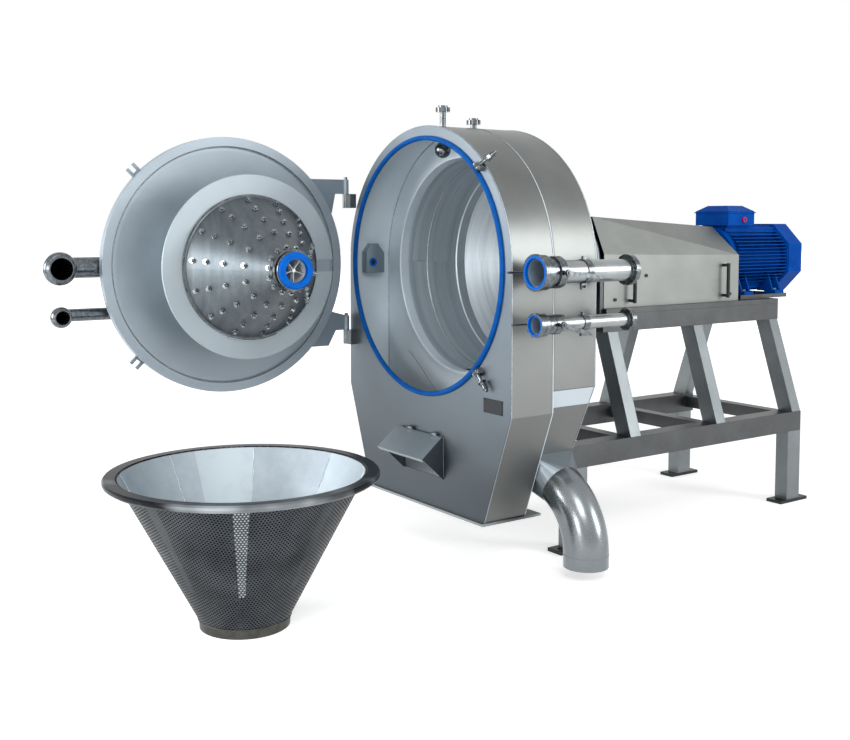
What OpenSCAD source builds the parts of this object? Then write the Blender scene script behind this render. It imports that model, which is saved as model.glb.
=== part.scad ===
// Conical centrifugal sieve with its door open and its basket taken out.
// Millimetres, +Z up, +Y along the rotor from the door to the motor, +X to the pipe couplings.
// The origin lies on the floor at the centre of the four anchor holes.

/* [Housing] */
// Height of the rotor axis above the floor
axis_z = 1200; // [1150:5:1450]
// Half width of the housing, also the radius of its arched top
half_w = 578; // [575:1:700]
// Sheet thickness of the housing
sheet = 4; // [3:1:6]
// Depth of the front chamber, to the face of the partition
front_d = 208; // [200:1:260]
// Depth of the rear chamber, from the partition's face to the rear wall's back
rear_d = 226; // [200:1:280]
// Height where the front chamber starts to taper
front_taper_z = 646; // [600:1:700]
// Height of the front chamber's lower edge
front_base_z = 208; // [180:1:240]
// Half width of the front chamber's lower edge
front_base_w = 415; // [360:1:450]
// Height where the rear chamber starts to taper
rear_taper_z = 735; // [700:1:780]
// Height of the rear chamber's lower edge
rear_base_z = 457; // [440:1:480]
// Half width of the rear chamber's lower edge
rear_base_w = 450; // [430:1:480]
// Radius of the opening in the front plate
mouth_r = 520; // [500:1:525]
// Width of the face seal
seal_w = 20; // [14:1:24]
// Height of the face seal in front of the plate
seal_h = 14; // [10:1:20]
// Outer radius of the drum casing behind the partition
drum_r = 457; // [450:1:470]
// Depth at which the drum casing starts to narrow
drum_end = 555; // [520:1:600]

/* [Outlets] */
// Outer diameter of the filtrate elbow
elbow_od = 178; // [150:1:204]
// Wall of the filtrate elbow
elbow_wall = 3; // [2:0.5:5]
// Bend radius of the filtrate elbow's centre line
elbow_bend = 267; // [250:1:300]
// Place of the elbow's vertical leg to the side of the rotor axis
elbow_x = 649; // [640:1:680]
// Arc of the elbow
elbow_arc = 64; // [60:1:70]
// Height of the elbow's open end
spigot_z = 43; // [30:1:60]
// Length of the straight spigot below the bend
spigot_len = 50; // [30:1:60]
// Width of the inspection chute's mouth
chute_w = 290; // [240:1:320]
// Reach of the chute in front of the plate
chute_reach = 105; // [80:1:110]

/* [Door] */
// Opening angle of the door at rest
door_open = 92; // [60:1:110]
// Hinge axis to the side of the rotor axis
hinge_x = -575; // [-640:1:-570]
// Hinge axis in front of the plate
hinge_y = -25; // [-32:1:-24]
// Outer radius of the door's rim
rim_r = 543; // [541:1:548]
// Radius of the raised disc
disc_r = 379; // [350:1:395]
// Depth of the raised disc's face behind the plate's front
disc_y = 216; // [200:1:225]
// Radius of the drum that carries the disc
throat_r = 270; // [255:1:275]
// Outer radius of the wash cone at its base
cone_r = 284; // [278:1:290]
// Outer radius of the wash cone at its tip
tip_r = 76; // [74:1:84]
// Length of the wash cone
cone_len = 340; // [320:1:360]
// Rows of nozzles round the wash cone
nozzle_rows = 14; // [10:1:18]
// Outer diameter of the feed tube inside the cone
feed_od = 96; // [90:1:100]

/* [Pipes] */
// Outer diameter of the feed pipes
feed_pipe = 85; // [76:1:89]
// Outer diameter of the wash pipes
wash_pipe = 51; // [48:1:54]
// Wall of the pipes
pipe_wall = 2; // [1.5:0.5:3]
// Axis of the couplings beyond the side of the housing
coupling_out = 127; // [112:1:162]
// Wash pipe below the rotor axis
wash_drop = 192; // [180:1:200]
// Rear end of the fixed pipes
pipe_end = 470; // [440:1:520]

/* [Basket] */
// Inner diameter of the basket's mouth
basket_mouth = 850; // [800:5:860]
// Outer diameter of the basket's rim
basket_rim_d = 936; // [920:2:960]
// Height of the basket
basket_h = 533; // [500:1:560]
// Outer diameter of the basket's foot ring
basket_foot = 310; // [290:2:330]
// Place of the basket to the side of the rotor axis
basket_x = 336; // [300:1:400]
// Place of the basket in front of the plate
basket_y = -984; // [-1100:1:-960]

/* [Frame] */
// Outer half width of the upper frame
upper_w = 238; // [205:1:250]
// Outer half width of the lower frame
lower_w = 387; // [330:1:400]
// Width of the box sections
box_w = 70; // [60:1:80]
// Height of the lower rails
lower_h = 96; // [80:1:100]
// Height of the upper rails
upper_h = 79; // [70:1:90]
// Thickness of the bed plate on the upper rails
bed_t = 24; // [18:1:30]
// Top of the bed plate below the rotor axis
bed_drop = 200; // [195:1:205]
// Front end of the lower frame
lower_front = 481; // [470:1:580]
// Rear end of the frame
frame_end = 2020; // [2000:1:2120]
// Half width of the drive guard
guard_w = 216; // [205:1:225]
// Front end of the bed plate and the guard
bed_front = 829; // [829:1:840]
// Top of the lower rails
rail_top = 450; // [420:1:480]
// Wall of the box sections
box_wall = 5; // [4:1:6]
// Length of a leg's section along the frame
leg_l = 62; // [50:1:70]
// Thickness of the foot plates
foot_t = 15; // [12:1:20]
// Width of the foot plates beyond the posts
foot_side = 8; // [4:1:30]
// Length of the foot plates beyond the posts
foot_end = 54; // [46:1:70]
// Radius of the anchor holes
anchor_r = 9; // [8:0.5:12]

/* [Drive] */
// Diameter of the main shaft
shaft_d = 90; // [80:1:95]
// Outer diameter of the bearing housing
bearing_od = 250; // [230:1:255]
// Shaft height of the motor above its feet
motor_h = 180; // [176:1:184]
// Spacing of the motor's foot bolts across
motor_a = 279; // [270:1:290]
// Spacing of the motor's foot bolts along the shaft
motor_b = 241; // [230:1:250]
// Front foot bolt behind the motor's shaft shoulder
motor_c = 121; // [110:1:130]
// Depth of the motor's shaft shoulder
motor_front = 1751; // [1748:1:1770]
// Half width of the motor over its fins
fin_half = 166; // [155:1:168]
// Pitch of the cooling fins
fin_pitch = 17; // [15:0.5:22]
// Thickness of a cooling fin
fin_t = 4.5; // [3:0.5:6]
// Half width of the fan cowl
cowl_half = 174; // [170:1:178]
// Rear end of the fan cowl
cowl_end = 2302; // [2290:1:2330]

/* [Hidden] */
// Clearances
seat_gap = 0.3;
run_gap = 0.05;
side_gap = 0.5;

// Depths that follow from the driving sizes
part_y = front_d;
rear_y = front_d + rear_d;
anchor_y1 = lower_front + lower_h / 2;
anchor_y2 = frame_end - lower_h / 2;
anchor_mid = (anchor_y1 + anchor_y2) / 2;
anchor_x = lower_w - box_w / 2;
anchor_off = (lower_h + foot_end) / 2;
bed_z = axis_z - bed_drop;
upper_top = bed_z - bed_t;
upper_bottom = upper_top - upper_h;
wash_z = axis_z - wash_drop;
mount_y = bed_front - 24;
mount_t = 20;

// Door depths, with the door closed
rim_face = -seal_h - seat_gap;
rim_t = 12;
dish_t = 4;
dish_face = -40;
dish_back = dish_face - dish_t - seat_gap;
door_pipe_y = dish_back - 64;
wash_pipe_y = dish_back - 74;
cone_y = disc_y + 16;
tip_y = cone_y + cone_len;
tip_end = tip_y + 62;
gasket_t = 20;

// Clamp bolts at the free side of the door
clamp_r = half_w - 18;
clamp_y = -22;
clamp_angles = [45, -45];
clamp_rest = [120, 90];
clamp_pin_r = 6;
clamp_len = 92;

// Side couplings: [height, pipe diameter, cup radius, gasket inner radius, end ring radius]
coupling_x = half_w + coupling_out;
feed_set = [axis_z, feed_pipe, 68.5, 53, 48];
wash_set = [wash_z, wash_pipe, 46, 34.5, 31.5];
sets = [feed_set, wash_set];
cup_face = 3;
pivot_y = 100;
lever_angles = [-7, -17];

// Rotor and drive depths
basket_seat = 716;
hub_len = 84;
hub_neck_r = 60;
bearing_y = [905, 1440];
bearing_r = shaft_d / 2 + 45;
coupling_y = 1570;
coupling_gap = 4;
coupling_len = 74;
coupling_d = 170;
shaft_end_r = 30;
motor_shaft_d = 48;
motor_end = cowl_end - 105;
foot_y1 = motor_front + motor_c;
foot_y2 = foot_y1 + motor_b;
motor_base = axis_z - motor_h;

$fn = 96;

steel = [0.70, 0.73, 0.76];
satin = [0.62, 0.64, 0.66];
bright = [0.78, 0.80, 0.82];
dark = [0.30, 0.31, 0.32];
seal_blue = [0.04, 0.31, 0.62];
gasket_blue = [0.0, 0.4, 0.9];
motor_blue = [0.0, 0.31, 0.66];

// Moves the machine from its front plate to the anchor centre
module placed() translate([0, -anchor_mid, 0]) children();

// A flat outline in X and Z, extruded towards +Y
module slab(y0, t) translate([0, y0 + t, 0]) rotate([90, 0, 0]) linear_extrude(t) children();

// A radius and depth profile, turned round the rotor axis
module turned() translate([0, 0, axis_z]) rotate([-90, 0, 0]) rotate_extrude($fn = 180) children();

// The same, round an axis along Y at any place
module turned_at(x, z) translate([x, 0, z]) rotate([-90, 0, 0]) rotate_extrude() children();

// A round bar along +Y
module bar_y(x, y, z, r, len) translate([x, y, z]) rotate([-90, 0, 0]) cylinder(r = r, h = len);

// A round bar along +X
module bar_x(x, y, z, r, len) translate([x, y, z]) rotate([0, 90, 0]) cylinder(r = r, h = len);

// Parts of the door are drawn closed and then swung open
module door_at_rest() translate([hinge_x, hinge_y, 0]) rotate([0, 0, -door_open])
    translate([-hinge_x, -hinge_y, 0]) children();

// Outline of a chamber: round top, straight sides, tapered foot
module chamber(inset, taper_z, base_z, base_w) {
    run = inset * 1.07;
    translate([0, axis_z]) circle(r = half_w - inset, $fn = 180);
    polygon([[half_w - inset, axis_z], [-half_w + inset, axis_z], [-half_w + inset, taper_z],
        [-base_w + run, base_z], [base_w - run, base_z], [half_w - inset, taper_z]]);
}
module front_outline(inset) chamber(inset, front_taper_z, front_base_z, front_base_w);
module rear_outline(inset) chamber(inset, rear_taper_z, rear_base_z, rear_base_w);

chute_z = [331, 514];
chute_x = 4;
module front_plate() color(steel) difference() {
    slab(0, sheet) front_outline(0);
    bar_y(0, -1, axis_z, mouth_r, sheet + 2, $fn = 180);
    translate([chute_x - chute_w / 2 + 8, -1, chute_z[0] + 6])
        cube([chute_w - 16, sheet + 2, 146]);
}

union_y = [103, 264];
union_bore = 13;
module front_shell() color(steel) difference() {
    slab(sheet, front_d - sheet) front_outline(0);
    slab(sheet - 1, front_d - sheet + 2) front_outline(sheet);
    translate([-front_base_w, sheet - 1, front_base_z - 1])
        cube([2 * front_base_w, front_d - sheet + 2, 1 + sheet / 2]);
    translate([0, union_y[0], axis_z]) cylinder(r = union_bore, h = half_w + 10);
}

// Partition between the chambers, with the rolled collar round its hole
collar_y = 192;
collar_w = 4;
module partition() color(steel) {
    difference() {
        slab(part_y, sheet) front_outline(0);
        bar_y(0, part_y - 1, axis_z, drum_r + seat_gap, sheet + 2, $fn = 180);
    }
    turned() polygon([[drum_r - collar_w, part_y + 30], [drum_r - collar_w, collar_y + 4],
        [drum_r - collar_w + 2, collar_y], [drum_r + 6, collar_y], [drum_r + 6, collar_y + 5],
        [drum_r, collar_y + 8], [drum_r, part_y + 30]]);
}

// Drum casing that narrows round the basket, with the drain to the rear chamber
casing_tail_y = 770;
casing_tail_r = 240;
module drum_casing() {
    w = collar_w;
    y0 = part_y + 30;
    color(bright) difference() {
        turned() polygon([[drum_r - w, y0], [drum_r, y0], [drum_r, drum_end],
            [casing_tail_r, casing_tail_y], [casing_tail_r, casing_tail_y + 6],
            [150, casing_tail_y + 6], [150, mount_y], [120, mount_y], [120, casing_tail_y + 6],
            [hub_neck_r + side_gap, casing_tail_y + 6], [hub_neck_r + side_gap, casing_tail_y],
            [casing_tail_r - 6, casing_tail_y], [drum_r - 12, drum_end],
            [drum_r - 12, drum_end - 45], [drum_r - 7, drum_end - 50], [drum_r - 7, 345],
            [drum_r - w, 340]]);
        translate([-40, part_y + 14 + 18, axis_z - drum_r - 20]) cube([370, rear_d - 60, 240]);
    }
}

module rear_shell() {
    y0 = part_y + sheet;
    len = rear_d - 2 * sheet;
    color(steel) difference() {
        slab(y0, len) rear_outline(0);
        slab(y0 - 1, len + 2) rear_outline(sheet);
        translate([-rear_base_w + 40, y0 - 1, rear_base_z - 1])
            cube([2 * rear_base_w - 80, len + 2, 1 + sheet / 2]);
        translate([0, union_y[1], axis_z]) cylinder(r = union_bore, h = half_w + 10);
    }
}

module rear_plate() color(steel) difference() {
    slab(rear_y - sheet, sheet) rear_outline(0);
    bar_y(0, rear_y - sheet - 1, axis_z, drum_r + seat_gap, sheet + 2, $fn = 180);
}

// Flange under the pulp chamber
flange_t = 10;
module pulp_flange() color(steel) difference() {
    translate([-front_base_w - 6, -10, front_base_z - flange_t])
        cube([2 * front_base_w + 12, front_d + 92, flange_t]);
    translate([-front_base_w + 8, sheet + 2, front_base_z - flange_t - 1])
        cube([2 * front_base_w - 16, front_d - sheet - 4, flange_t + 2]);
}

// Trough under the rear chamber that turns from square to round
elbow_y = 325;
elbow_low_z = spigot_z + spigot_len;
elbow_mouth = [elbow_x - elbow_bend + elbow_bend * cos(elbow_arc), elbow_y,
    elbow_low_z + elbow_bend * sin(elbow_arc)];
module elbow_frame() translate(elbow_mouth) rotate([0, 90 - elbow_arc + 90, 0]) children();
trough_y = [part_y + sheet, rear_y - sheet];
module trough_solid(inset) hull() {
    translate([rear_base_w - 250, trough_y[0] + inset, rear_base_z - 70])
        cube([250 - inset, trough_y[1] - trough_y[0] - 2 * inset, 70 + (inset > 0 ? 1 : 0)]);
    elbow_frame() translate([0, 0, -2])
        cylinder(r = elbow_od / 2 - inset, h = inset > 0 ? 4 : 2, $fn = 32);
}
module outlet_transition() color(steel) {
    difference() {
        trough_solid(0);
        trough_solid(elbow_wall);
    }
    difference() {
        translate([-rear_base_w, trough_y[0], rear_base_z - 70])
            cube([2 * rear_base_w - 250 - seat_gap, trough_y[1] - trough_y[0], 70]);
        translate([-rear_base_w + 3, trough_y[0] + 3, rear_base_z - 67])
            cube([2 * rear_base_w - 250, trough_y[1] - trough_y[0] - 6, 70]);
    }
}

module outlet_elbow() color(bright) {
    translate([elbow_x - elbow_bend, elbow_y, elbow_low_z]) rotate([90, 0, 0])
        rotate_extrude(angle = elbow_arc) translate([elbow_bend, 0]) difference() {
            circle(d = elbow_od);
            circle(d = elbow_od - 2 * elbow_wall);
        }
    translate([elbow_x, elbow_y, spigot_z]) difference() {
        cylinder(d = elbow_od, h = spigot_len);
        translate([0, 0, -1]) cylinder(d = elbow_od - 2 * elbow_wall, h = spigot_len + 2);
    }
}

// Rubber seal with a rounded nose on the front plate
module door_seal() {
    r0 = mouth_r - 2;
    r1 = mouth_r + seal_w - 2;
    color(seal_blue) turned() union() {
        polygon([[r0, 0], [r0, -seal_h + 6], [r0 + 6, -seal_h], [r1 - 6, -seal_h],
            [r1, -seal_h + 6], [r1, 0]]);
    }
}

// Lift-off hinges: lower knuckles and pins on the housing, upper knuckles on the door
hinge_z = [[axis_z + 247, axis_z + 310, axis_z + 375], [axis_z - 372, axis_z - 308, axis_z - 243]];
knuckle_r = 14;
pin_r = 8;
module hinge_brackets() color(satin) for (h = hinge_z) {
    difference() {
        union() {
            translate([hinge_x, hinge_y, h[0]]) cylinder(r = knuckle_r, h = h[1] - h[0]);
            translate([hinge_x, hinge_y - 6, h[0]]) cube([50, -hinge_y + 6, h[1] - h[0]]);
        }
        translate([hinge_x, hinge_y, h[0] - 1]) cylinder(r = pin_r, h = h[1] - h[0] + 2);
    }
    translate([hinge_x, hinge_y, h[0]]) cylinder(r = pin_r, h = h[2] - h[0] + 12);
}

// Frame of a clamp bolt: X outwards, Z along its pin
module at_clamp(a) translate([0, 0, axis_z]) rotate([0, -a, 0]) translate([clamp_r, clamp_y, 0])
    children();
ear_t = 7;
eye_w = 14;
module clamp_ears() color(satin) for (a = clamp_angles) at_clamp(a) {
    for (s = [-1, 1]) difference() {
        union() {
            translate([0, 0, s * (eye_w / 2 + side_gap + ear_t / 2) - ear_t / 2])
                cylinder(r = 13, h = ear_t);
            translate([-12, 0, s * (eye_w / 2 + side_gap + ear_t / 2) - ear_t / 2])
                cube([24, -clamp_y, ear_t]);
        }
        translate([0, 0, -40]) cylinder(r = clamp_pin_r, h = 80);
    }
    translate([0, 0, -eye_w / 2 - ear_t - 4]) cylinder(r = clamp_pin_r, h = eye_w + 2 * ear_t + 8);
}

// Swing bolt with its eye, rod, washer and nut, drawn towards the door and swung out
module swing_bolt(rest) rotate([0, 0, rest]) {
    difference() {
        translate([0, 0, -eye_w / 2]) cylinder(r = 15, h = eye_w);
        translate([0, 0, -eye_w]) cylinder(r = clamp_pin_r + run_gap, h = 2 * eye_w);
    }
    translate([0, -13, 0]) rotate([90, 0, 0]) cylinder(r = 6.8, h = clamp_len - 13);
    translate([0, -48, 0]) rotate([90, 0, 0]) cylinder(r = 17, h = 3);
    translate([0, -51, 0]) rotate([90, 0, 0]) cylinder(r = 13.5, h = 14, $fn = 6);
    translate([0, -65, 0]) rotate([90, 0, 0]) cylinder(r = 11, h = 16);
}
module eyebolt_upper() color(bright) at_clamp(clamp_angles[0]) swing_bolt(clamp_rest[0]);
module eyebolt_lower() color(bright) at_clamp(clamp_angles[1]) swing_bolt(clamp_rest[1]);

// Inspection chute with its hinged flap
flap_fall = 39.4;
flap_drop = 10;
flap_t = 3;
flap_y = -14;
flap_z = chute_z[1] + flap_y * tan(flap_fall) + (flap_drop + seat_gap) / cos(flap_fall);
flap_len = (chute_reach + flap_y) / cos(flap_fall) + flap_drop * tan(flap_fall) + flap_t + 1;
flap_over = 39;
flap_w = chute_w + flap_over;
cheek_t = 4;
chute_lug_x = [-92, 84];
lug_w = 12;
knuckle_w = 22;
module chute_body() color(steel) {
    for (x = [-chute_w / 2, chute_w / 2 - cheek_t]) translate([chute_x + x, 0, 0]) rotate([90, 0, 90])
        linear_extrude(cheek_t) polygon([[0, chute_z[1]],
            [-chute_reach, chute_z[1] - chute_reach * tan(flap_fall)], [0, chute_z[0]]]);
    for (x = chute_lug_x) {
        translate([x, flap_y, flap_z]) rotate([0, 90, 0]) cylinder(r = 6, h = lug_w);
        translate([x, flap_y, flap_z - 5]) cube([lug_w, -flap_y, 10]);
        translate([x, flap_y, flap_z]) rotate([0, 90, 0])
            cylinder(r = 2.5, h = lug_w + side_gap + knuckle_w);
    }
}
module chute_flap() color(steel) translate([0, flap_y, flap_z]) rotate([flap_fall, 0, 0]) {
    x0 = chute_x - chute_w / 2 - flap_over;
    translate([x0, -flap_len, -flap_drop]) cube([flap_w, flap_len - 2, flap_t]);
    translate([x0, -flap_len, -flap_drop - 14]) cube([flap_w, flap_t, 15]);
    for (x = chute_lug_x) difference() {
        union() {
            translate([x + lug_w + side_gap, 0, 0]) rotate([0, 90, 0])
                cylinder(r = 6, h = knuckle_w);
            translate([x + lug_w + side_gap, -18, -flap_drop + flap_t - 0.5])
                cube([knuckle_w, 20, 4.5]);
        }
        translate([x, 0, 0]) rotate([0, 90, 0])
            cylinder(r = 2.5 + run_gap, h = lug_w + knuckle_w + 2);
    }
}

plate_size = [115, 56];
plate_at = [472, 678];
module nameplate() {
    color(dark) translate([plate_at[0] - plate_size[0] / 2, -2, plate_at[1] - plate_size[1] / 2])
        cube([plate_size[0], 2, plate_size[1]]);
    for (x = [-1, 1], z = [-1, 1]) color(bright)
        bar_y(plate_at[0] + x * (plate_size[0] / 2 - 6), -4,
            plate_at[1] + z * (plate_size[1] / 2 - 6), 2.5, 2);
}

// Slotted round nut
module slotted_nut(r, h, slots) difference() {
    cylinder(r = r, h = h);
    for (i = [0:slots - 1]) rotate(i * 360 / slots) translate([r - 4, -4, -1]) cube([8, 8, h + 2]);
}

// Two capped unions on top of the housing
union_stem = [66, 22];
module top_unions() color(bright) for (i = [0, 1])
    translate([0, union_y[i], axis_z + half_w - sheet + 0.5]) {
        difference() {
            cylinder(r = union_bore - seat_gap, h = union_stem[i]);
            translate([0, 0, -1]) cylinder(r = union_bore - 3, h = union_stem[i]);
        }
        translate([0, 0, union_stem[i]]) slotted_nut(30, 18, 6);
        translate([0, 0, union_stem[i] + 18]) cylinder(r = 20, h = 8);
    }

// Spray ball under the front union, and the rinse nozzle on the side wall
ball_r = 34;
ball_z = axis_z + half_w - 94;
bracket_y = 60;
module spray_fittings() {
    neck_top = axis_z + half_w - sheet + 0.5 - seat_gap;
    color(bright) translate([0, union_y[0], 0]) {
        translate([0, 0, ball_z]) sphere(r = ball_r);
        translate([0, 0, ball_z + ball_r - 2])
            cylinder(r = union_bore - 1, h = neck_top - ball_z - ball_r + 2);
    }
    color(steel) difference() {
        intersection() {
            translate([-half_w, bracket_y, axis_z - 49]) rotate([90, 0, 90])
                linear_extrude(42 + sheet)
                polygon([[0, 0], [96, 0], [96, 92], [62, 134], [26, 134], [0, 96]]);
            slab(0, front_d) front_outline(sheet + seat_gap);
        }
        translate([-half_w + 12, bracket_y + 34, axis_z]) rotate([0, 90, 0])
            cylinder(r = 12, h = 60);
    }
    color(gasket_blue) translate([-half_w + sheet + 42, bracket_y + 34, axis_z]) rotate([0, 90, 0])
        difference() {
            cylinder(r = 20, h = 5);
            translate([0, 0, -1]) cylinder(r = 12, h = 8);
        }
}

// Fixed feed and wash pipes beside the housing
module side_pipes() color(bright) for (s = sets) turned_at(coupling_x, s[0])
    translate([s[1] / 2 - pipe_wall, pivot_y + 30]) square([pipe_wall, pipe_end - pivot_y - 30]);

// Female coupling: lip, barrel, neck, and the collar that carries the lever pins
module coupling_sockets() color(bright) for (s = sets) {
    p = s[1] / 2;
    c = s[2];
    g = c - 6;
    turned_at(coupling_x, s[0]) polygon([[g, cup_face], [c, cup_face], [c, cup_face + 10],
        [c - 4, cup_face + 13], [c - 4, cup_face + 44], [p + 10, cup_face + 52],
        [p + 10, pivot_y - 16], [c - 9, pivot_y - 16], [c - 9, pivot_y + 16],
        [p, pivot_y + 30], [p - pipe_wall, pivot_y + 30], [p - pipe_wall, cup_face + 50],
        [g, cup_face + 16]]);
    for (side = [-1, 1]) translate([coupling_x + side * (c - 11), pivot_y, s[0]])
        rotate([0, side * 90, 0]) cylinder(r = 5, h = 26);
}
module coupling_gaskets() color(gasket_blue) for (s = sets)
    turned_at(coupling_x, s[0]) polygon([[s[3], cup_face], [s[2] - 6 - seat_gap, cup_face],
        [s[2] - 6 - seat_gap, cup_face + 15.5], [s[3], cup_face + 15.5]]);

// Union nuts at the rear of the side pipes
module pipe_unions() color(bright) for (s = sets) {
    p = s[1] / 2;
    translate([coupling_x, pipe_end - 12, s[0]]) rotate([-90, 0, 0]) difference() {
        union() {
            translate([0, 0, 0]) cylinder(r = p + 8, h = 8);
            translate([0, 0, 8]) slotted_nut(p + 17.5, 22, 8);
            translate([0, 0, 30]) cylinder(r = p + 11, h = 6);
        }
        translate([0, 0, -1]) cylinder(r = p + seat_gap, h = 60);
    }
}

// Pipe clamps on the side wall
clamp_mid = 245;
module pipe_clamps() color(satin) for (s = sets) {
    p = s[1] / 2;
    translate([coupling_x, clamp_mid - 14, s[0]]) rotate([-90, 0, 0]) difference() {
        union() {
            cylinder(r = p + 3.5, h = 28);
            translate([-p - 40, -5, 4]) cube([40, 10, 20]);
            translate([-5.5, p, 0]) cube([11, 26, 28]);
            translate([-5.5, -p - 14, 6]) cube([11, 14, 16]);
        }
        translate([0, 0, -1]) cylinder(r = p + seat_gap, h = 30);
        translate([-1.5, p - 4, -1]) cube([3, 40, 30]);
    }
    bar_x(coupling_x - 16, clamp_mid, s[0] - p - 15, 5, 32);
    bar_x(half_w, clamp_mid, s[0], 9, coupling_x - half_w - p - 40);
    bar_x(half_w, clamp_mid, s[0], 22, 5);
}

// Over-centre lever, drawn along +Y from its pin
module lever_arm(c, len, tip) translate([c - 8, 0, 0]) difference() {
    union() {
        rotate([0, 90, 0]) cylinder(r = 13, h = 9);
        translate([1, 0, -9]) cube([7, len * 0.55, 18]);
        translate([1, len * 0.5, 0]) rotate([0, 90, 0]) linear_extrude(6)
            polygon([[-9, 0], [9, 0], [tip, len * 0.5], [-tip, len * 0.5]]);
    }
    translate([-1, 0, 0]) rotate([0, 90, 0]) cylinder(r = 5 + run_gap, h = 12);
}
module lever_rod(c, len) translate([-c - 1, 0, 0]) difference() {
    union() {
        rotate([0, 90, 0]) cylinder(r = 12, h = 10);
        translate([5, -8, 0]) rotate([90, 0, 0]) cylinder(r = 4.5, h = len);
    }
    translate([-1, 0, 0]) rotate([0, 90, 0]) cylinder(r = 5 + run_gap, h = 12);
}
lever_in = 11;
module lever_right(i, len) color(bright)
    translate([coupling_x, pivot_y, sets[i][0]]) rotate([lever_angles[i], 0, 0])
        lever_arm(sets[i][2] + lever_in, len, 4);
module lever_left(i, len) color(bright)
    translate([coupling_x, pivot_y, sets[i][0]]) lever_rod(sets[i][2] + lever_in, len);
module feed_lever_right() lever_right(0, 170);
module feed_lever_left() lever_left(0, 152);
module wash_lever_right() lever_right(1, 156);
module wash_lever_left() lever_left(1, 150);

// Hollow box section along Y
module box_y(x, y, z, w, len, h) translate([x, y, z]) difference() {
    cube([w, len, h]);
    translate([box_wall, box_wall, box_wall])
        cube([w - 2 * box_wall, len - 2 * box_wall, h - 2 * box_wall]);
}

module upper_rails() color(satin) {
    for (s = [0, 1]) mirror([s, 0, 0])
        box_y(upper_w - box_w, mount_y, upper_bottom, box_w, frame_end - mount_y, upper_h);
    for (y = leg_y) translate([-upper_w + box_w, y - 25, upper_bottom + 10])
        cube([2 * (upper_w - box_w), 50, upper_h - 20]);
}

leg_y = [865, (865 + frame_end - 35) / 2, frame_end - 35];
leg_x = 84;
module leg_outline(inset) polygon([[upper_w - inset, upper_bottom], [lower_w - inset, rail_top],
    [lower_w - leg_x + inset, rail_top], [upper_w - leg_x + inset, upper_bottom]]);
module inclined_legs() color(satin) for (s = [0, 1], y = leg_y) mirror([s, 0, 0])
    difference() {
        slab(y - leg_l / 2, leg_l) leg_outline(0);
        slab(y - leg_l / 2 + box_wall, leg_l - 2 * box_wall) leg_outline(box_wall);
    }

module lower_frame() color(satin) {
    for (s = [0, 1]) mirror([s, 0, 0])
        box_y(lower_w - leg_x, lower_front, rail_top - lower_h, leg_x, frame_end - lower_front,
            lower_h);
    for (y = concat([lower_front + 40], leg_y)) translate([-lower_w + leg_x, y - 30, rail_top - 70])
        cube([2 * (lower_w - leg_x), 60, 60]);
}

// Upright posts with their foot plates and anchor holes
module uprights() color(satin) for (s = [0, 1], y = [lower_front, frame_end - lower_h])
    mirror([s, 0, 0]) {
        translate([lower_w - box_w, y, foot_t]) difference() {
            cube([box_w, lower_h, rail_top - lower_h - foot_t]);
            translate([box_wall, box_wall, -1])
                cube([box_w - 2 * box_wall, lower_h - 2 * box_wall,
                    rail_top - lower_h - foot_t + 2]);
        }
        difference() {
            translate([lower_w - box_w - foot_side, y - foot_end, 0])
                cube([box_w + 2 * foot_side, lower_h + 2 * foot_end, foot_t]);
            for (e = [-1, 1]) translate([anchor_x, y + lower_h / 2 + e * anchor_off, -1])
                cylinder(r = anchor_r, h = foot_t + 2);
        }
    }

module bed_plate() color(satin) {
    translate([-upper_w, mount_y + mount_t, upper_top])
        cube([2 * upper_w, frame_end - mount_y - mount_t, bed_t]);
    difference() {
        translate([-180, foot_y1 - 70, bed_z]) cube([360, motor_b + 120, motor_base - bed_z]);
        for (x = [-1, 1], y = [foot_y1, foot_y2])
            translate([x * motor_a / 2, y, bed_z - 1]) cylinder(r = 6, h = 40);
    }
}

// Upright plate between the casing and the bearing housing
module mount_plate() color(satin) difference() {
    slab(mount_y, mount_t) union() {
        translate([-guard_w, upper_top]) square([2 * guard_w, 144]);
        translate([0, axis_z]) circle(r = 200);
    }
    bar_y(0, mount_y - 1, axis_z, shaft_d / 2 + 12, mount_t + 2);
}

module bearing_housing() color(satin) {
    difference() {
        union() {
            turned() polygon([[bearing_r, mount_y + mount_t], [bearing_od / 2 + 20, mount_y + mount_t],
                [bearing_od / 2 + 20, mount_y + mount_t + 18], [bearing_od / 2, mount_y + mount_t + 30],
                [bearing_od / 2, bearing_y[1] + 40], [bearing_r, bearing_y[1] + 40]]);
            for (y = [bearing_y[0] + 10, bearing_y[1] - 50])
                translate([-120, y, bed_z]) cube([240, 60, 120]);
        }
        bar_y(0, mount_y, axis_z, bearing_r, bearing_y[1] - mount_y + 80);
    }
}

// Bearings at both ends of the housing
module shaft_bearings() color(bright) for (y = bearing_y)
    translate([0, y - 25, axis_z]) rotate([-90, 0, 0]) difference() {
        cylinder(r = bearing_r - seat_gap, h = 50);
        translate([0, 0, -1]) cylinder(r = shaft_d / 2 + run_gap, h = 52);
    }

module main_shaft() color(bright) {
    bar_y(0, basket_seat + hub_len, axis_z, shaft_d / 2, coupling_y - coupling_len - basket_seat
        - hub_len);
    bar_y(0, coupling_y - coupling_len, axis_z, shaft_end_r, coupling_len - 6);
}

// Hub that carries the basket's foot ring
hub_r = 118;
module rotor_hub() color(bright) difference() {
    turned() polygon([[0, basket_seat - 22], [56, basket_seat - 22], [56, basket_seat],
        [hub_r, basket_seat], [hub_r, basket_seat + 14], [hub_neck_r, basket_seat + 50],
        [hub_neck_r, basket_seat + hub_len], [0, basket_seat + hub_len]]);
    for (a = [0:60:300]) translate([86 * cos(a), basket_seat - 1, axis_z + 86 * sin(a)])
        rotate([-90, 0, 0]) cylinder(r = 6, h = 13);
}

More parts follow.
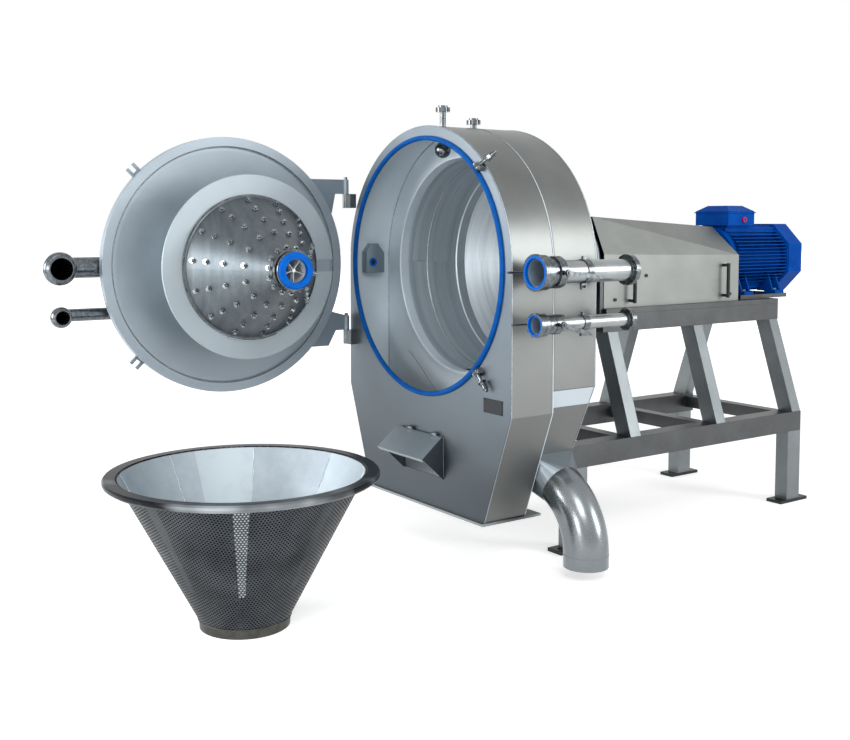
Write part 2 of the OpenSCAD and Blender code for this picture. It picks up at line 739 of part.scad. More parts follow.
// Jaw coupling halves
module jaw_half(y, dir, bore) difference() {
    turned() polygon([[bore, y], [coupling_d / 2, y], [coupling_d / 2, y + dir * 40],
        [coupling_d / 2 - 28, y + dir * 46], [coupling_d / 2 - 28, y + dir * coupling_len],
        [bore, y + dir * coupling_len]]);
    for (a = [0:60:300]) translate([0, y, axis_z]) rotate([0, a, 0])
        translate([54, -7, -9]) cube([40, 14, 18]);
}
module drive_coupling() color(dark) jaw_half(coupling_y, -1, shaft_end_r + seat_gap);
module motor_shaft() {
    color(bright) bar_y(0, coupling_y + coupling_gap + 6, axis_z, motor_shaft_d / 2,
        motor_end - coupling_y - coupling_gap + 66);
    color(dark) jaw_half(coupling_y + coupling_gap, 1, motor_shaft_d / 2 + seat_gap);
}

// Motor section: round barrel, level fins at the sides, upright fins above and below
fin_count = floor(fin_half / fin_pitch);
barrel_r = 138;
module motor_section() {
    circle(r = barrel_r);
    intersection() {
        union() {
            for (i = [-fin_count:fin_count]) translate([-fin_half, i * fin_pitch - fin_t / 2])
                square([2 * fin_half, fin_t]);
            for (i = [-4:4]) translate([i * 20 - fin_t / 2, -fin_half])
                square([fin_t, 2 * fin_half]);
        }
        polygon([for (a = [22.5:45:360]) fin_half / cos(22.5) * [cos(a), sin(a)]]);
    }
}
end_shield = 46;
module motor_frame() color(motor_blue) {
    difference() {
        union() {
            translate([0, 0, axis_z]) slab(motor_front + end_shield, motor_end - motor_front
                - end_shield - 20) motor_section();
            turned() polygon([[40, motor_front], [96, motor_front], [96, motor_front + 12],
                [150, motor_front + 26], [158, motor_front + end_shield], [40,
                motor_front + end_shield]]);
            translate([0, 0, axis_z]) slab(motor_end - 20, 20)
                octagon(cowl_half - 4 - seat_gap);
            for (x = [-1, 1], y = [foot_y1, foot_y2]) translate([x * motor_a / 2 - 35, y - 34,
                motor_base]) cube([70, 68, 16]);
            for (x = [-1, 1], y = [foot_y1 - 34, foot_y1 + 24, foot_y2 - 34, foot_y2 + 24])
                slab(y, 10) translate([0, motor_base]) polygon([[x * 60, 10],
                    [x * (motor_a / 2 + 18), 10], [x * 118, 118], [x * 60, 90]]);
            translate([-80, motor_front + 60, axis_z + barrel_r - 12]) cube([160, 190, 40]);
        }
        bar_y(0, motor_front - 1, axis_z, motor_shaft_d / 2 + run_gap, motor_end - motor_front + 2);
        for (x = [-1, 1], y = [foot_y1, foot_y2])
            translate([x * motor_a / 2, y, motor_base - 1]) cylinder(r = 6.5, h = 20);
    }
}

box_at = [-105, motor_front + 38, axis_z + barrel_r + 28];
box_size = [210, 200, 62];
module terminal_box() color(motor_blue) {
    translate(box_at) cube(box_size);
    translate([box_at[0] - 5, box_at[1] - 5, box_at[2] + box_size[2]]) cube([220, 210, 6]);
    hull() {
        translate([box_at[0], box_at[1], box_at[2] + box_size[2] + 6]) cube([210, 200, 4]);
        translate([-60, box_at[1] + 40, box_at[2] + box_size[2] + 34]) cube([120, 120, 4]);
    }
}

// Red blanking plug, lifting eye and foot bolts
module motor_fittings() {
    color([0.85, 0.1, 0.1]) bar_x(box_at[0] + box_size[0], box_at[1] + 118, box_at[2] + 30, 15, 9);
    color(motor_blue) translate([0, motor_front + 330, axis_z + fin_half]) {
        cylinder(r = 14, h = 8);
        translate([0, 0, 24]) rotate([90, 0, 0]) rotate_extrude() translate([16, 0]) circle(r = 5);
        cylinder(r = 6, h = 14);
    }
    for (x = [-1, 1], y = [foot_y1, foot_y2]) color(bright)
        translate([x * motor_a / 2, y, bed_z + 2]) {
            cylinder(r = 5.8, h = motor_base - bed_z + 16);
            translate([0, 0, motor_base - bed_z + 14]) cylinder(r = 13, h = 10, $fn = 6);
        }
}

cowl_step = 14;
module octagon(half) polygon([for (a = [22.5:45:360]) half / cos(22.5) * [cos(a), sin(a)]]);
module fan_cowl() color(motor_blue) difference() {
    translate([0, 0, axis_z]) union() {
        slab(motor_end - cowl_step, cowl_end - motor_end) octagon(cowl_half);
        slab(cowl_end - cowl_step, cowl_step) octagon(cowl_half - 12);
    }
    translate([0, 0, axis_z]) slab(motor_end - cowl_step - 1, cowl_end - motor_end - 3)
        octagon(cowl_half - 4);
    translate([0, 0, axis_z]) slab(motor_end - 1, cowl_end - motor_end - 3)
        octagon(cowl_half - 16);
    for (r = [40:24:136]) translate([0, 0, axis_z]) slab(cowl_end - 20, 24) difference() {
        circle(r = r + 9);
        circle(r = r - 5);
        for (a = [0:45:315]) rotate(a) translate([0, -5]) square([200, 10]);
    }
}

module cooling_fan() color(dark) {
    y = motor_end + 24;
    turned() polygon([[motor_shaft_d / 2 + seat_gap, y], [140, y], [140, y + 4], [42, y + 6],
        [42, y + 30], [motor_shaft_d / 2 + seat_gap, y + 30]]);
    for (a = [0:45:315]) translate([0, y + 4, axis_z]) rotate([0, a, 0])
        translate([48, 0, -2]) cube([86, 40, 4]);
}

// Folded hood over bearings and coupling
hood_front = [[guard_w, 40], [137, 208]];
hood_rear = [[guard_w, 23], [46, 160]];
hood_end = motor_front - 13;
hood_t = 3;
module hood_face(y, p, inset, low) translate([0, y, 0]) slab(0, 1) polygon([
    [p[0][0] - inset, low], [p[0][0] - inset, axis_z + p[0][1] - inset * 0.4],
    [p[1][0] - inset * 0.4, axis_z + p[1][1] - inset], [-p[1][0] + inset * 0.4,
    axis_z + p[1][1] - inset], [-p[0][0] + inset, axis_z + p[0][1] - inset * 0.4],
    [-p[0][0] + inset, low]]);
module guard_cover() color(satin) difference() {
    hull() {
        hood_face(bed_front, hood_front, 0, bed_z + seat_gap);
        hood_face(hood_end - 1, hood_rear, 0, bed_z + seat_gap);
    }
    hull() {
        hood_face(bed_front - 1, hood_front, hood_t, bed_z - 5);
        hood_face(hood_end, hood_rear, hood_t, bed_z - 5);
    }
}
handle_y = [988, 1622];
handle_z = [axis_z - 170, axis_z - 24];
handle_out = 34;
module guard_fittings() {
    for (s = [0, 1], y = handle_y) mirror([s, 0, 0]) color(dark) {
        for (z = handle_z) bar_x(guard_w, y, z, 7, handle_out);
        translate([guard_w + handle_out, y, handle_z[0] - 10])
            cylinder(r = 8.5, h = handle_z[1] - handle_z[0] + 20);
    }
    for (s = [0, 1], p = [[897, -163], [1675, -165], [1093, -60]]) mirror([s, 0, 0]) color(bright)
        bar_x(guard_w, p[0], axis_z + p[1], 8, 5);
}

module door_rim() color(steel) door_at_rest() turned() polygon([[rim_r - 38, rim_face],
    [rim_r, rim_face], [rim_r, rim_face - 38], [rim_r - 6, rim_face - 38],
    [rim_r - 6, rim_face - rim_t], [rim_r - 38, rim_face - rim_t]]);

module door_dish() color(steel) door_at_rest() difference() {
    b = rim_face - rim_t;
    turned() polygon([[rim_r - 26, b], [rim_r - 26, b - dish_t], [rim_r - 58, b - dish_t],
        [throat_r + 12, dish_face - dish_t], [0, dish_face - dish_t], [0, dish_face],
        [throat_r + 12, dish_face], [rim_r - 58, b]]);
    bar_y(0, dish_face - 10, axis_z, feed_od / 2 + seat_gap, 20);
    bar_y(0, dish_face - 10, wash_z, wash_pipe / 2 + seat_gap, 20);
}

// Drum with the raised disc, the notch at the hinge side and the drip strip
notch_from = 300;
notch_h = 52;
module drum_disc() color(steel) door_at_rest() difference() {
    union() {
        turned() polygon([[throat_r - 5, dish_face], [throat_r, dish_face], [throat_r, disc_y - 6],
            [disc_r - 3, disc_y - 6], [disc_r, disc_y - 3], [disc_r - 3, disc_y],
            [throat_r - 5, disc_y]]);
        translate([0, disc_y, axis_z]) rotate([-90, 0, 0]) rotate([0, 0, 69])
            rotate_extrude(angle = 42) translate([cone_r + 14, 0]) square([4, 14]);
    }
    translate([-disc_r - 5, disc_y - 10, axis_z - notch_h / 2])
        cube([disc_r + 5 - notch_from, 14, notch_h]);
}

// Wash cone that the nozzles stand on
cone_t = 3;
cone_slope = (cone_r - tip_r) / cone_len;
cone_tilt = atan(cone_slope);
module manifold_cone() color(bright) door_at_rest() turned() polygon([[cone_r - 12, disc_y],
    [cone_r + 6, disc_y], [cone_r + 6, disc_y + 8], [cone_r + 1, disc_y + 10], [cone_r, cone_y],
    [tip_r, tip_y], [tip_r + 2, tip_y + 8], [tip_r + 2, tip_y + 20], [tip_r - 6, tip_y + 20],
    [feed_od / 2 + seat_gap, tip_y + 20], [feed_od / 2 + seat_gap, tip_y + 14],
    [tip_r - 6, tip_y + 14], [tip_r - cone_t, tip_y], [cone_r - cone_t, cone_y],
    [cone_r - cone_t, disc_y + 6], [cone_r - 12, disc_y + 6]]);

// Nozzle heads in rows down the cone
nozzle_steps = [24, 80, 150, 232, 328];
nozzle_turn = 7;
module nozzle_head() {
    cylinder(r = 11, h = 5);
    translate([0, 0, 5]) cylinder(r = 7.5, h = 9);
}
module spray_nozzles() color(bright) door_at_rest() translate([0, cone_y, axis_z])
    rotate([-90, 0, 0]) for (i = [0:nozzle_rows - 1], d = nozzle_steps)
        rotate([0, 0, -nozzle_turn - i * 360 / nozzle_rows])
            translate([cone_r - d * cone_slope, 0, d]) rotate([0, 90 - cone_tilt, 0])
                translate([0, 0, 0.1]) nozzle_head();

// Feed tube with the star of vanes in its mouth
module feed_tube() color(bright) door_at_rest() {
    turned() polygon([[feed_od / 2 - 2, dish_face - dish_t], [feed_od / 2, dish_face - dish_t],
        [feed_od / 2, tip_end - 26], [66, tip_end - 22], [66, tip_end - gasket_t],
        [feed_od / 2 - 2, tip_end - gasket_t]]);
    bar_y(0, tip_end - 60, axis_z, 7, 34);
    for (a = [18:72:360]) translate([0, tip_end - 56, axis_z]) rotate([0, a, 0])
        translate([6.5, 0, -1]) cube([feed_od / 2 - 8, 26, 2]);
}
module tip_gasket() color(gasket_blue) door_at_rest() turned() polygon([[45.5, tip_end],
    [66, tip_end], [71.5, tip_end - 6], [71.5, tip_end - gasket_t], [45.5, tip_end - gasket_t]]);

// Pipes on the outside of the door, with male ends that meet the side couplings
module bend(bend_r, od, wall, arc) rotate_extrude(angle = arc) translate([bend_r, 0])
    difference() {
        circle(d = od);
        circle(d = od - 2 * wall);
    }
module male_end(od, ring_r, bulge, y0) {
    r = od / 2;
    inner = r - pipe_wall;
    turned_at(0, 0) polygon(concat([[inner, y0], [r, y0], [r, -44]],
        [for (a = [15:15:90]) [r + (bulge - r) * sin(a), -45 + 17 - 17 * cos(a)]],
        [for (a = [15:15:75]) [ring_r + (bulge - ring_r) * cos(a), -28 + 22 * sin(a)]],
        [[ring_r, -4], [ring_r, 1], [ring_r - 4, 1], [inner, -8]]));
}
module door_pipe(z, od, y, in_bend, out_bend, ring_r, bulge) {
    run_from = in_bend;
    run_to = coupling_x - out_bend;
    translate([in_bend, y + in_bend, z]) rotate([0, 0, 180]) bend(in_bend, od, pipe_wall, 90);
    turned_at(0, z) polygon([[od / 2 - 1, y + in_bend - 7], [od / 2 + 9, y + in_bend - 7],
        [od / 2 + 16, y + in_bend], [od / 2 - 1, y + in_bend]]);
    translate([run_from, y, z]) rotate([0, 90, 0]) difference() {
        cylinder(d = od, h = run_to - run_from);
        translate([0, 0, -1]) cylinder(d = od - 2 * pipe_wall, h = run_to - run_from + 2);
    }
    translate([run_to, y + out_bend, z]) rotate([0, 0, -90]) bend(out_bend, od, pipe_wall, 90);
    translate([coupling_x, 0, z]) male_end(od, ring_r, bulge, y + out_bend);
}
module door_pipes() color(dark) door_at_rest() {
    door_pipe(axis_z, feed_pipe, door_pipe_y, 64, 64, feed_set[4], 66);
    door_pipe(wash_z, wash_pipe, wash_pipe_y, 74, 38, wash_set[4], 42);
}

// Hinge leaves and fork lugs on the door's rim
leaf_t = 12;
module leaf(z, flip) {
    zc = (z[1] + z[2]) / 2;
    difference() {
        union() {
            translate([hinge_x, hinge_y, z[1] + side_gap])
                cylinder(r = knuckle_r, h = z[2] - z[1]);
            slab(hinge_y - leaf_t / 2, leaf_t) polygon(flip
                ? [[hinge_x, z[1] + side_gap], [hinge_x, z[2] + side_gap], [-500, axis_z - 222],
                    [-400, axis_z - 222], [-384, axis_z - 376], [-480, axis_z - 376],
                    [-518, z[1] + side_gap]]
                : [[hinge_x, z[1] + side_gap], [hinge_x, z[2] + side_gap], [-384, axis_z + 375],
                    [-400, axis_z + 224], [-500, axis_z + 224], [-518, z[1] + side_gap]]);
        }
        translate([hinge_x, hinge_y, 0]) cylinder(r = pin_r + run_gap, h = 2000);
        bar_y(0, -100, axis_z, rim_r + seat_gap, 120, $fn = 180);
    }
}
fork_y = [-62, -48];
module door_lugs() color(satin) door_at_rest() {
    leaf(hinge_z[0], false);
    leaf(hinge_z[1], true);
    for (a = clamp_angles) difference() {
        translate([0, 0, axis_z]) rotate([0, -a, 0]) difference() {
            union() {
                translate([rim_r - 20, fork_y[0], -22])
                    cube([clamp_r - rim_r + 39, fork_y[1] - fork_y[0], 44]);
                translate([rim_r - 20, fork_y[1], -22]) cube([13, -fork_y[1] + rim_face - rim_t, 44]);
            }
            translate([clamp_r - 12, fork_y[0] - 1, -10.5]) cube([60, 20, 21]);
        }
        difference() {
            bar_y(0, rim_face - 38, axis_z, rim_r + seat_gap, 60, $fn = 180);
            bar_y(0, rim_face - 40, axis_z, rim_r - 6 - seat_gap, 64, $fn = 180);
        }
    }
}

// Basket standing on its small end
module on_floor() translate([basket_x, basket_y, 0]) children();
cone_foot_r = basket_foot / 2 + 2;
rim_z = basket_h - 26;
foot_ring_h = 30;
skin_top = basket_h - 4;
skin_t = 3;
liner_t = 2;
skin_slope = (basket_mouth / 2 - cone_foot_r) / (basket_h - foot_ring_h);
// Radius of the skin's outside at a height
function skin_r(z) = cone_foot_r + (z - foot_ring_h) * skin_slope;
// Conical shell between two heights, with its outside inset from the skin's
module cone_shell(inset, t, top) rotate_extrude($fn = 180) polygon([
    [cone_foot_r - inset - t, foot_ring_h], [cone_foot_r - inset, foot_ring_h],
    [skin_r(top) - inset, top], [skin_r(top) - inset - t, top]]);
module basket_rim() color(dark) on_floor() rotate_extrude($fn = 180) {
    r = basket_rim_d / 2;
    polygon([[skin_r(basket_h) + seat_gap, basket_h], [skin_r(rim_z) + seat_gap, rim_z],
        [r - 14, rim_z], [r - 8, rim_z + 6], [r - 2, rim_z + 8],
        [r, rim_z + 12], [r, basket_h - 6], [r - 5, basket_h]]);
}
module basket_cone() color(dark) on_floor() cone_shell(0, skin_t, skin_top);
module sieve_liner() color(bright) on_floor() cone_shell(skin_t + seat_gap, liner_t, skin_top);
module basket_foot_ring() color(satin) on_floor() difference() {
    rotate_extrude($fn = 180) polygon([[60, 6], [basket_foot / 2 - 8, 6], [basket_foot / 2 - 8, 0],
        [basket_foot / 2, 0], [cone_foot_r, foot_ring_h], [cone_foot_r - 8, foot_ring_h],
        [basket_foot / 2 - 8, 14], [60, 14]]);
    for (a = [0:60:300]) translate([86 * cos(a), 86 * sin(a), 0]) cylinder(r = 6.5, h = 20);
}

placed() front_plate();
placed() front_shell();
placed() partition();
placed() drum_casing();
placed() rear_shell();
placed() rear_plate();
placed() pulp_flange();
placed() outlet_transition();
placed() outlet_elbow();
placed() door_seal();
placed() hinge_brackets();
placed() clamp_ears();
placed() chute_body();
placed() nameplate();
placed() top_unions();
placed() spray_fittings();
placed() side_pipes();
placed() coupling_sockets();
placed() coupling_gaskets();
placed() pipe_unions();
placed() pipe_clamps();
placed() upper_rails();
placed() inclined_legs();
placed() lower_frame();
placed() uprights();
placed() bed_plate();
placed() mount_plate();
placed() bearing_housing();
placed() shaft_bearings();
placed() motor_frame();
placed() terminal_box();
placed() motor_fittings();
placed() fan_cowl();
placed() main_shaft();
placed() rotor_hub();
placed() drive_coupling();
placed() motor_shaft();
placed() cooling_fan();
placed() guard_cover();
placed() guard_fittings();
placed() door_rim();
placed() door_dish();
placed() drum_disc();
placed() manifold_cone();
placed() spray_nozzles();
placed() feed_tube();
placed() tip_gasket();
placed() door_pipes();
placed() door_lugs();
placed() eyebolt_upper();
placed() eyebolt_lower();
placed() chute_flap();
placed() feed_lever_right();
placed() feed_lever_left();
placed() wash_lever_right();
placed() wash_lever_left();
placed() basket_rim();
placed() basket_cone();
placed() sieve_liner();
placed() basket_foot_ring();
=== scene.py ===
# Conical centrifugal sieve, door open, basket lifted out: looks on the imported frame.
import math

import bmesh
import bpy
from mathutils import Matrix, Vector


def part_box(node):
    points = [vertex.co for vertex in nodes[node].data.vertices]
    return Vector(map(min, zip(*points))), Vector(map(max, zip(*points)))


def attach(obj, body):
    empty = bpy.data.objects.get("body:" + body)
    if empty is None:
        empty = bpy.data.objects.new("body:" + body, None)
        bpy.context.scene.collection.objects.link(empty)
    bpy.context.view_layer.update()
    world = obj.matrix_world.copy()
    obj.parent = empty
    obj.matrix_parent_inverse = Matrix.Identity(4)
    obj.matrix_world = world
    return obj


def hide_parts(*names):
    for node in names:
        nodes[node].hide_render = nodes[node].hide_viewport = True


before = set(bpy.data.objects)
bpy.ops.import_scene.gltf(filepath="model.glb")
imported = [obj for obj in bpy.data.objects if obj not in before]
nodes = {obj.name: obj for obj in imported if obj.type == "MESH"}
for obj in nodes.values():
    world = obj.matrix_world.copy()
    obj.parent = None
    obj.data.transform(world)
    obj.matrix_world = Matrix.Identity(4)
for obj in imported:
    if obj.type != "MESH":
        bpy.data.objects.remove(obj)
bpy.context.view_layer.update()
MM = 0.001
scene = bpy.context.scene

# Places that the pieces share, in millimetres from the front plate, the rotor plane and the floor
PLATE_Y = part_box("front_plate")[0].y
ROTOR_Z = 1200
HALF_W = 578
SHEET = 4
PART_Y = 208
REAR_Y = 434
HINGE = (-575, -25)
DOOR_OPEN = 92
# Outline of a chamber below its round top: height of the taper, height and half width of the foot
FRONT_OUTLINE = (646, 208, 415)
REAR_OUTLINE = (735, 457, 450)

# Heights between which blasted sheet is painted darker towards the floor, as painted shade, and between
# which the darker tone ends on top of the foot plates
SHADE_FADE_Z = (350, 1250)
FOOT_DARK_Z = (15, 17)

# The basket's skin: its foot, its height along the axis, and how fast its radius grows with height
BASKET_X = 336
BASKET_Y = -984
SKIN_FOOT_R = 157
SKIN_FOOT_Z = 30
SKIN_H = 497
CONE_SLOPE = 268 / 503
CONE_BASE = SKIN_FOOT_R - SKIN_FOOT_Z * CONE_SLOPE
CONE_TILT = math.atan(CONE_SLOPE)
# Panels of the sieve sheet, and the angle in degrees of their first seam
PANELS = 8
SEAM_AT = -31


def at(x, y, z):
    """A point in millimetres from the front plate, as the frame has it."""
    return Vector((x * MM, PLATE_Y + y * MM, z * MM))


HINGE_AXIS = at(*HINGE, 0)
DOOR_REST = (Matrix.Translation(HINGE_AXIS) @ Matrix.Rotation(math.radians(-DOOR_OPEN), 4, "Z")
             @ Matrix.Translation(-HINGE_AXIS))
ROTOR = at(0, 0, ROTOR_Z)
DOOR_MID = DOOR_REST @ ROTOR
BASKET = at(BASKET_X, BASKET_Y, 0)


def linear(hex_colour):
    """An sRGB hex colour as linear RGBA."""
    parts = [int(hex_colour[i:i + 2], 16) / 255 for i in (1, 3, 5)]
    return [c / 12.92 if c <= 0.04045 else ((c + 0.055) / 1.055) ** 2.4 for c in parts] + [1.0]


def add(tree, kind, settings=None, links=None):
    """A new node, with its properties or sockets set and its inputs linked."""
    node = tree.nodes.new(kind)
    for key, value in (settings or {}).items():
        if isinstance(key, str) and hasattr(node, key):
            setattr(node, key, value)
        else:
            node.inputs[key].default_value = value
    for key, source in (links or {}).items():
        tree.links.new(source, node.inputs[key])
    return node.outputs


def blank_tree(owner):
    """The empty node tree of a material or world."""
    owner.use_nodes = True
    owner.node_tree.nodes.clear()
    return owner.node_tree


def start(name, rounded=0.0, **sockets):
    """A new material with one Principled shader, the Object coordinates to paint it with, and the
    normals of its edges rounded over that many millimetres."""
    material = bpy.data.materials.new(name)
    tree = blank_tree(material)
    coords = add(tree, "ShaderNodeTexCoord")["Object"]
    values = {key.replace("_", " "): value for key, value in sockets.items()}
    shader = add(tree, "ShaderNodeBsdfPrincipled", values)["BSDF"]
    add(tree, "ShaderNodeOutputMaterial", links={"Surface": shader})
    edges = add(tree, "ShaderNodeBevel", {"samples": 4, "Radius": rounded * MM})[0] if rounded else None
    return material, tree, shader.node.inputs, coords, edges


def two_tone(tree, pattern, dark, light, low=0.3, high=0.7):
    """Colour that goes from dark to light as a pattern goes from low to high."""
    share = add(tree, "ShaderNodeMapRange", {"From Min": low, "From Max": high}, {"Value": pattern})[0]
    ends = {"data_type": "RGBA", 6: linear(dark), 7: linear(light)}
    return add(tree, "ShaderNodeMix", ends, {0: share})[2]


def cover(tree, colour, over, share):
    """A colour with another over it, where the share is 1."""
    return add(tree, "ShaderNodeMix", {"data_type": "RGBA", 7: linear(over)}, {0: share, 6: colour})[2]


def surface(tree, shader, colour, pattern, roughness, relief, depth, strength, edges):
    """Into the shader: colour, roughness between two values as the pattern goes, and relief of that
    depth in millimetres on top of the rounded edges."""
    tree.links.new(colour, shader["Base Color"])
    ends = {"To Min": roughness[0], "To Max": roughness[1]}
    tree.links.new(add(tree, "ShaderNodeMapRange", ends, {"Value": pattern})[0], shader["Roughness"])
    links = {"Height": relief}
    if edges is not None:
        links["Normal"] = edges
    bumped = add(tree, "ShaderNodeBump", {"Strength": strength, "Distance": depth * MM}, links)[0]
    tree.links.new(bumped, shader["Normal"])


def around(tree, coords, centre, axis):
    """Angle, distance along the axis and radius round an axis through centre, and the turning direction."""
    moved = add(tree, "ShaderNodeVectorMath", {"operation": "SUBTRACT", 1: centre}, {0: coords})[0]
    split = add(tree, "ShaderNodeSeparateXYZ", links={0: moved})
    across = {"Y": ("X", "Z"), "Z": ("X", "Y")}[axis]
    a, b = split[across[0]], split[across[1]]
    angle = add(tree, "ShaderNodeMath", {"operation": "ARCTAN2"}, {0: b, 1: a})[0]
    flat = add(tree, "ShaderNodeCombineXYZ", links={0: a, 1: b})[0]
    radius = add(tree, "ShaderNodeVectorMath", {"operation": "LENGTH"}, {0: flat})["Value"]
    spindle = (0.0, 1.0, 0.0) if axis == "Y" else (0.0, 0.0, 1.0)
    turning = add(tree, "ShaderNodeVectorMath", {"operation": "CROSS_PRODUCT", 0: spindle}, {1: moved})[0]
    turning = add(tree, "ShaderNodeVectorMath", {"operation": "NORMALIZE"}, {0: turning})[0]
    return angle, split[axis], radius, turning


def below(tree, coords, low, high):
    """1 under the lower height, 0 over the higher one, both in millimetres, and a share in between."""
    height = add(tree, "ShaderNodeSeparateXYZ", links={0: coords})["Z"]
    ends = {"From Min": low * MM, "From Max": high * MM, "To Min": 1.0, "To Max": 0.0}
    return add(tree, "ShaderNodeMapRange", ends, {"Value": height})[0]


def within_chamber(tree, coords):
    """1 on the inside of the arched sheet above the taper, 0 on its outside and lower down."""
    chamber_low = 660
    split = add(tree, "ShaderNodeSeparateXYZ", links={0: coords})
    rise = add(tree, "ShaderNodeMath", {"operation": "SUBTRACT", 1: ROTOR_Z * MM}, {0: split["Z"]})[0]
    rise = add(tree, "ShaderNodeMath", {"operation": "MAXIMUM", 1: 0.0}, {0: rise})[0]
    across = add(tree, "ShaderNodeCombineXYZ", links={0: split["X"], 1: rise})[0]
    reach = add(tree, "ShaderNodeVectorMath", {"operation": "LENGTH"}, {0: across})["Value"]
    middle = {"operation": "LESS_THAN", 1: (HALF_W - SHEET / 2) * MM}
    within = add(tree, "ShaderNodeMath", middle, {0: reach})[0]
    over = {"operation": "GREATER_THAN", 1: chamber_low * MM}
    upper = add(tree, "ShaderNodeMath", over, {0: split["Z"]})[0]
    return add(tree, "ShaderNodeMath", {"operation": "MULTIPLY"}, {0: within, 1: upper})[0]


def blasted_stainless(name, dark, light, roughness=0.46, metallic=1.0, foot=None, inside=None):
    """Glass-bead blasted stainless sheet: soft, even and without direction, with faint clouds from the
    blast nozzle's passes and a grain of 0.1 mm, drawn here at 2.5 mm so that it shows. A foot colour is
    painted shade: a darker tone painted towards the floor. An inside colour is painted light: a lighter
    tone painted on the chamber's side of the arched sheet, which is also made less metallic there."""
    material, tree, shader, coords, edges = start(name, 1.2, Metallic=metallic)
    cloud, grain, inside_metallic = 240 * MM, 2.5 * MM, 0.2
    clouds = add(tree, "ShaderNodeTexNoise", {"Scale": 1 / cloud, "Detail": 4.0}, {"Vector": coords})[0]
    colour = two_tone(tree, clouds, dark, light, 0.32, 0.68)
    # Painted shade: a darker tone painted towards the floor.
    if foot:
        colour = cover(tree, colour, foot, below(tree, coords, *SHADE_FADE_Z))
    # Painted light: the chamber's side of the arched sheet is painted lighter and made less metallic.
    if inside:
        within = within_chamber(tree, coords)
        colour = cover(tree, colour, inside, within)
        ends = {"To Min": metallic, "To Max": inside_metallic}
        tree.links.new(add(tree, "ShaderNodeMapRange", ends, {"Value": within})[0], shader["Metallic"])
    pits = add(tree, "ShaderNodeTexNoise", {"Scale": 1 / grain, "Detail": 2.0}, {"Vector": coords})[0]
    surface(tree, shader, colour, clouds, (roughness - 0.05, roughness + 0.05), pits, 0.12, 0.5, edges)
    return material


def brushed_stainless(name, dark, light, grain, roughness=0.32, metallic=1.0, depth=0.08, rounded=1.2,
                      cloud=120, foot=None):
    """Stainless ground or brushed along one direction: fine parallel scratches 0.2 mm apart, drawn at
    1.5 mm so that they show, over uneven patches that the belt leaves. A foot colour is a darker tone
    on the plates that stand on the floor."""
    material, tree, shader, coords, edges = start(name, rounded, Metallic=metallic)
    scratch = 1.5 * MM
    drawn = add(tree, "ShaderNodeMapping", {"Scale": grain}, {"Vector": coords})[0]
    hair = add(tree, "ShaderNodeTexNoise", {"Scale": 1 / scratch, "Roughness": 0.6}, {"Vector": drawn})[0]
    patch = {"Scale": 1 / (cloud * MM), "Detail": 3.0}
    clouds = add(tree, "ShaderNodeTexNoise", patch, {"Vector": coords})[0]
    mixed = add(tree, "ShaderNodeMix", {"data_type": "FLOAT", "Factor": 0.5}, {2: hair, 3: clouds})[0]
    colour = two_tone(tree, mixed, dark, light, 0.32, 0.68)
    if foot:
        colour = cover(tree, colour, foot, below(tree, coords, *FOOT_DARK_Z))
    surface(tree, shader, colour, hair, (roughness - 0.08, roughness + 0.08), hair, depth, 0.6, edges)
    return material


def turned_stainless(name, dark, light, centre, axis, roughness, pitch, stretch, metallic=1.0,
                     painted_highlight=None, outside=None):
    """Stainless turned on a lathe: rings round the axis, each a little lighter or darker than the next,
    and gloss drawn out across them, so that a lamp shows as a streak from the middle. A painted highlight
    colour paints brighter patches some 200 mm long each, most of them on one side, as painted highlights.
    An outside colour is for skin that was only blasted, where just the inside was turned."""
    material, tree, shader, coords, edges = start(name, Metallic=metallic, Anisotropic=stretch)
    angle, along, radius, turning = around(tree, coords, centre, axis)
    drift, band, patch, lit_side, lit_share = 4 * MM, 30 * MM, 200 * MM, 0.5, 0.3
    slow = add(tree, "ShaderNodeMath", {"operation": "MULTIPLY", 1: drift}, {0: angle})[0]
    ringed = add(tree, "ShaderNodeCombineXYZ", links={0: slow, 1: along, 2: radius})[0]
    fine = {"Scale": 1 / (pitch * MM), "Roughness": 0.6}
    rings = add(tree, "ShaderNodeTexNoise", fine, {"Vector": ringed})[0]
    broad = add(tree, "ShaderNodeTexNoise", {"Scale": 1 / band, "Detail": 3.0}, {"Vector": ringed})[0]
    mixed = add(tree, "ShaderNodeMix", {"data_type": "FLOAT", "Factor": 0.45}, {2: rings, 3: broad})[0]
    colour = two_tone(tree, mixed, dark, light)
    # Painted highlight: brighter patches, most of them on one side of the turning.
    if painted_highlight:
        highlight_mix = add(tree, "ShaderNodeTexNoise", {"Scale": 1 / patch, "Detail": 2.0}, {"Vector": coords})[0]
        facing = add(tree, "ShaderNodeMath", {"operation": "ADD", 1: lit_side}, {0: angle})[0]
        facing = add(tree, "ShaderNodeMath", {"operation": "COSINE"}, {0: facing})[0]
        highlight_mix = add(tree, "ShaderNodeMath", {"operation": "MULTIPLY_ADD", 1: lit_share},
                     {0: facing, 2: highlight_mix})[0]
        share = add(tree, "ShaderNodeMapRange", {"From Min": 0.62, "From Max": 0.9}, {"Value": highlight_mix})[0]
        colour = cover(tree, colour, painted_highlight, share)
    if outside:
        moved = add(tree, "ShaderNodeVectorMath", {"operation": "SUBTRACT", 1: centre}, {0: coords})[0]
        faces = add(tree, "ShaderNodeNewGeometry")["Normal"]
        away = add(tree, "ShaderNodeVectorMath", {"operation": "DOT_PRODUCT"}, {0: moved, 1: faces})["Value"]
        share = add(tree, "ShaderNodeMath", {"operation": "GREATER_THAN", 1: 0.0}, {0: away})[0]
        colour = cover(tree, colour, outside, share)
    tree.links.new(turning, shader["Tangent"])
    surface(tree, shader, colour, rings, (roughness - 0.06, roughness + 0.08), rings, 0.06, 0.5, edges)
    return material


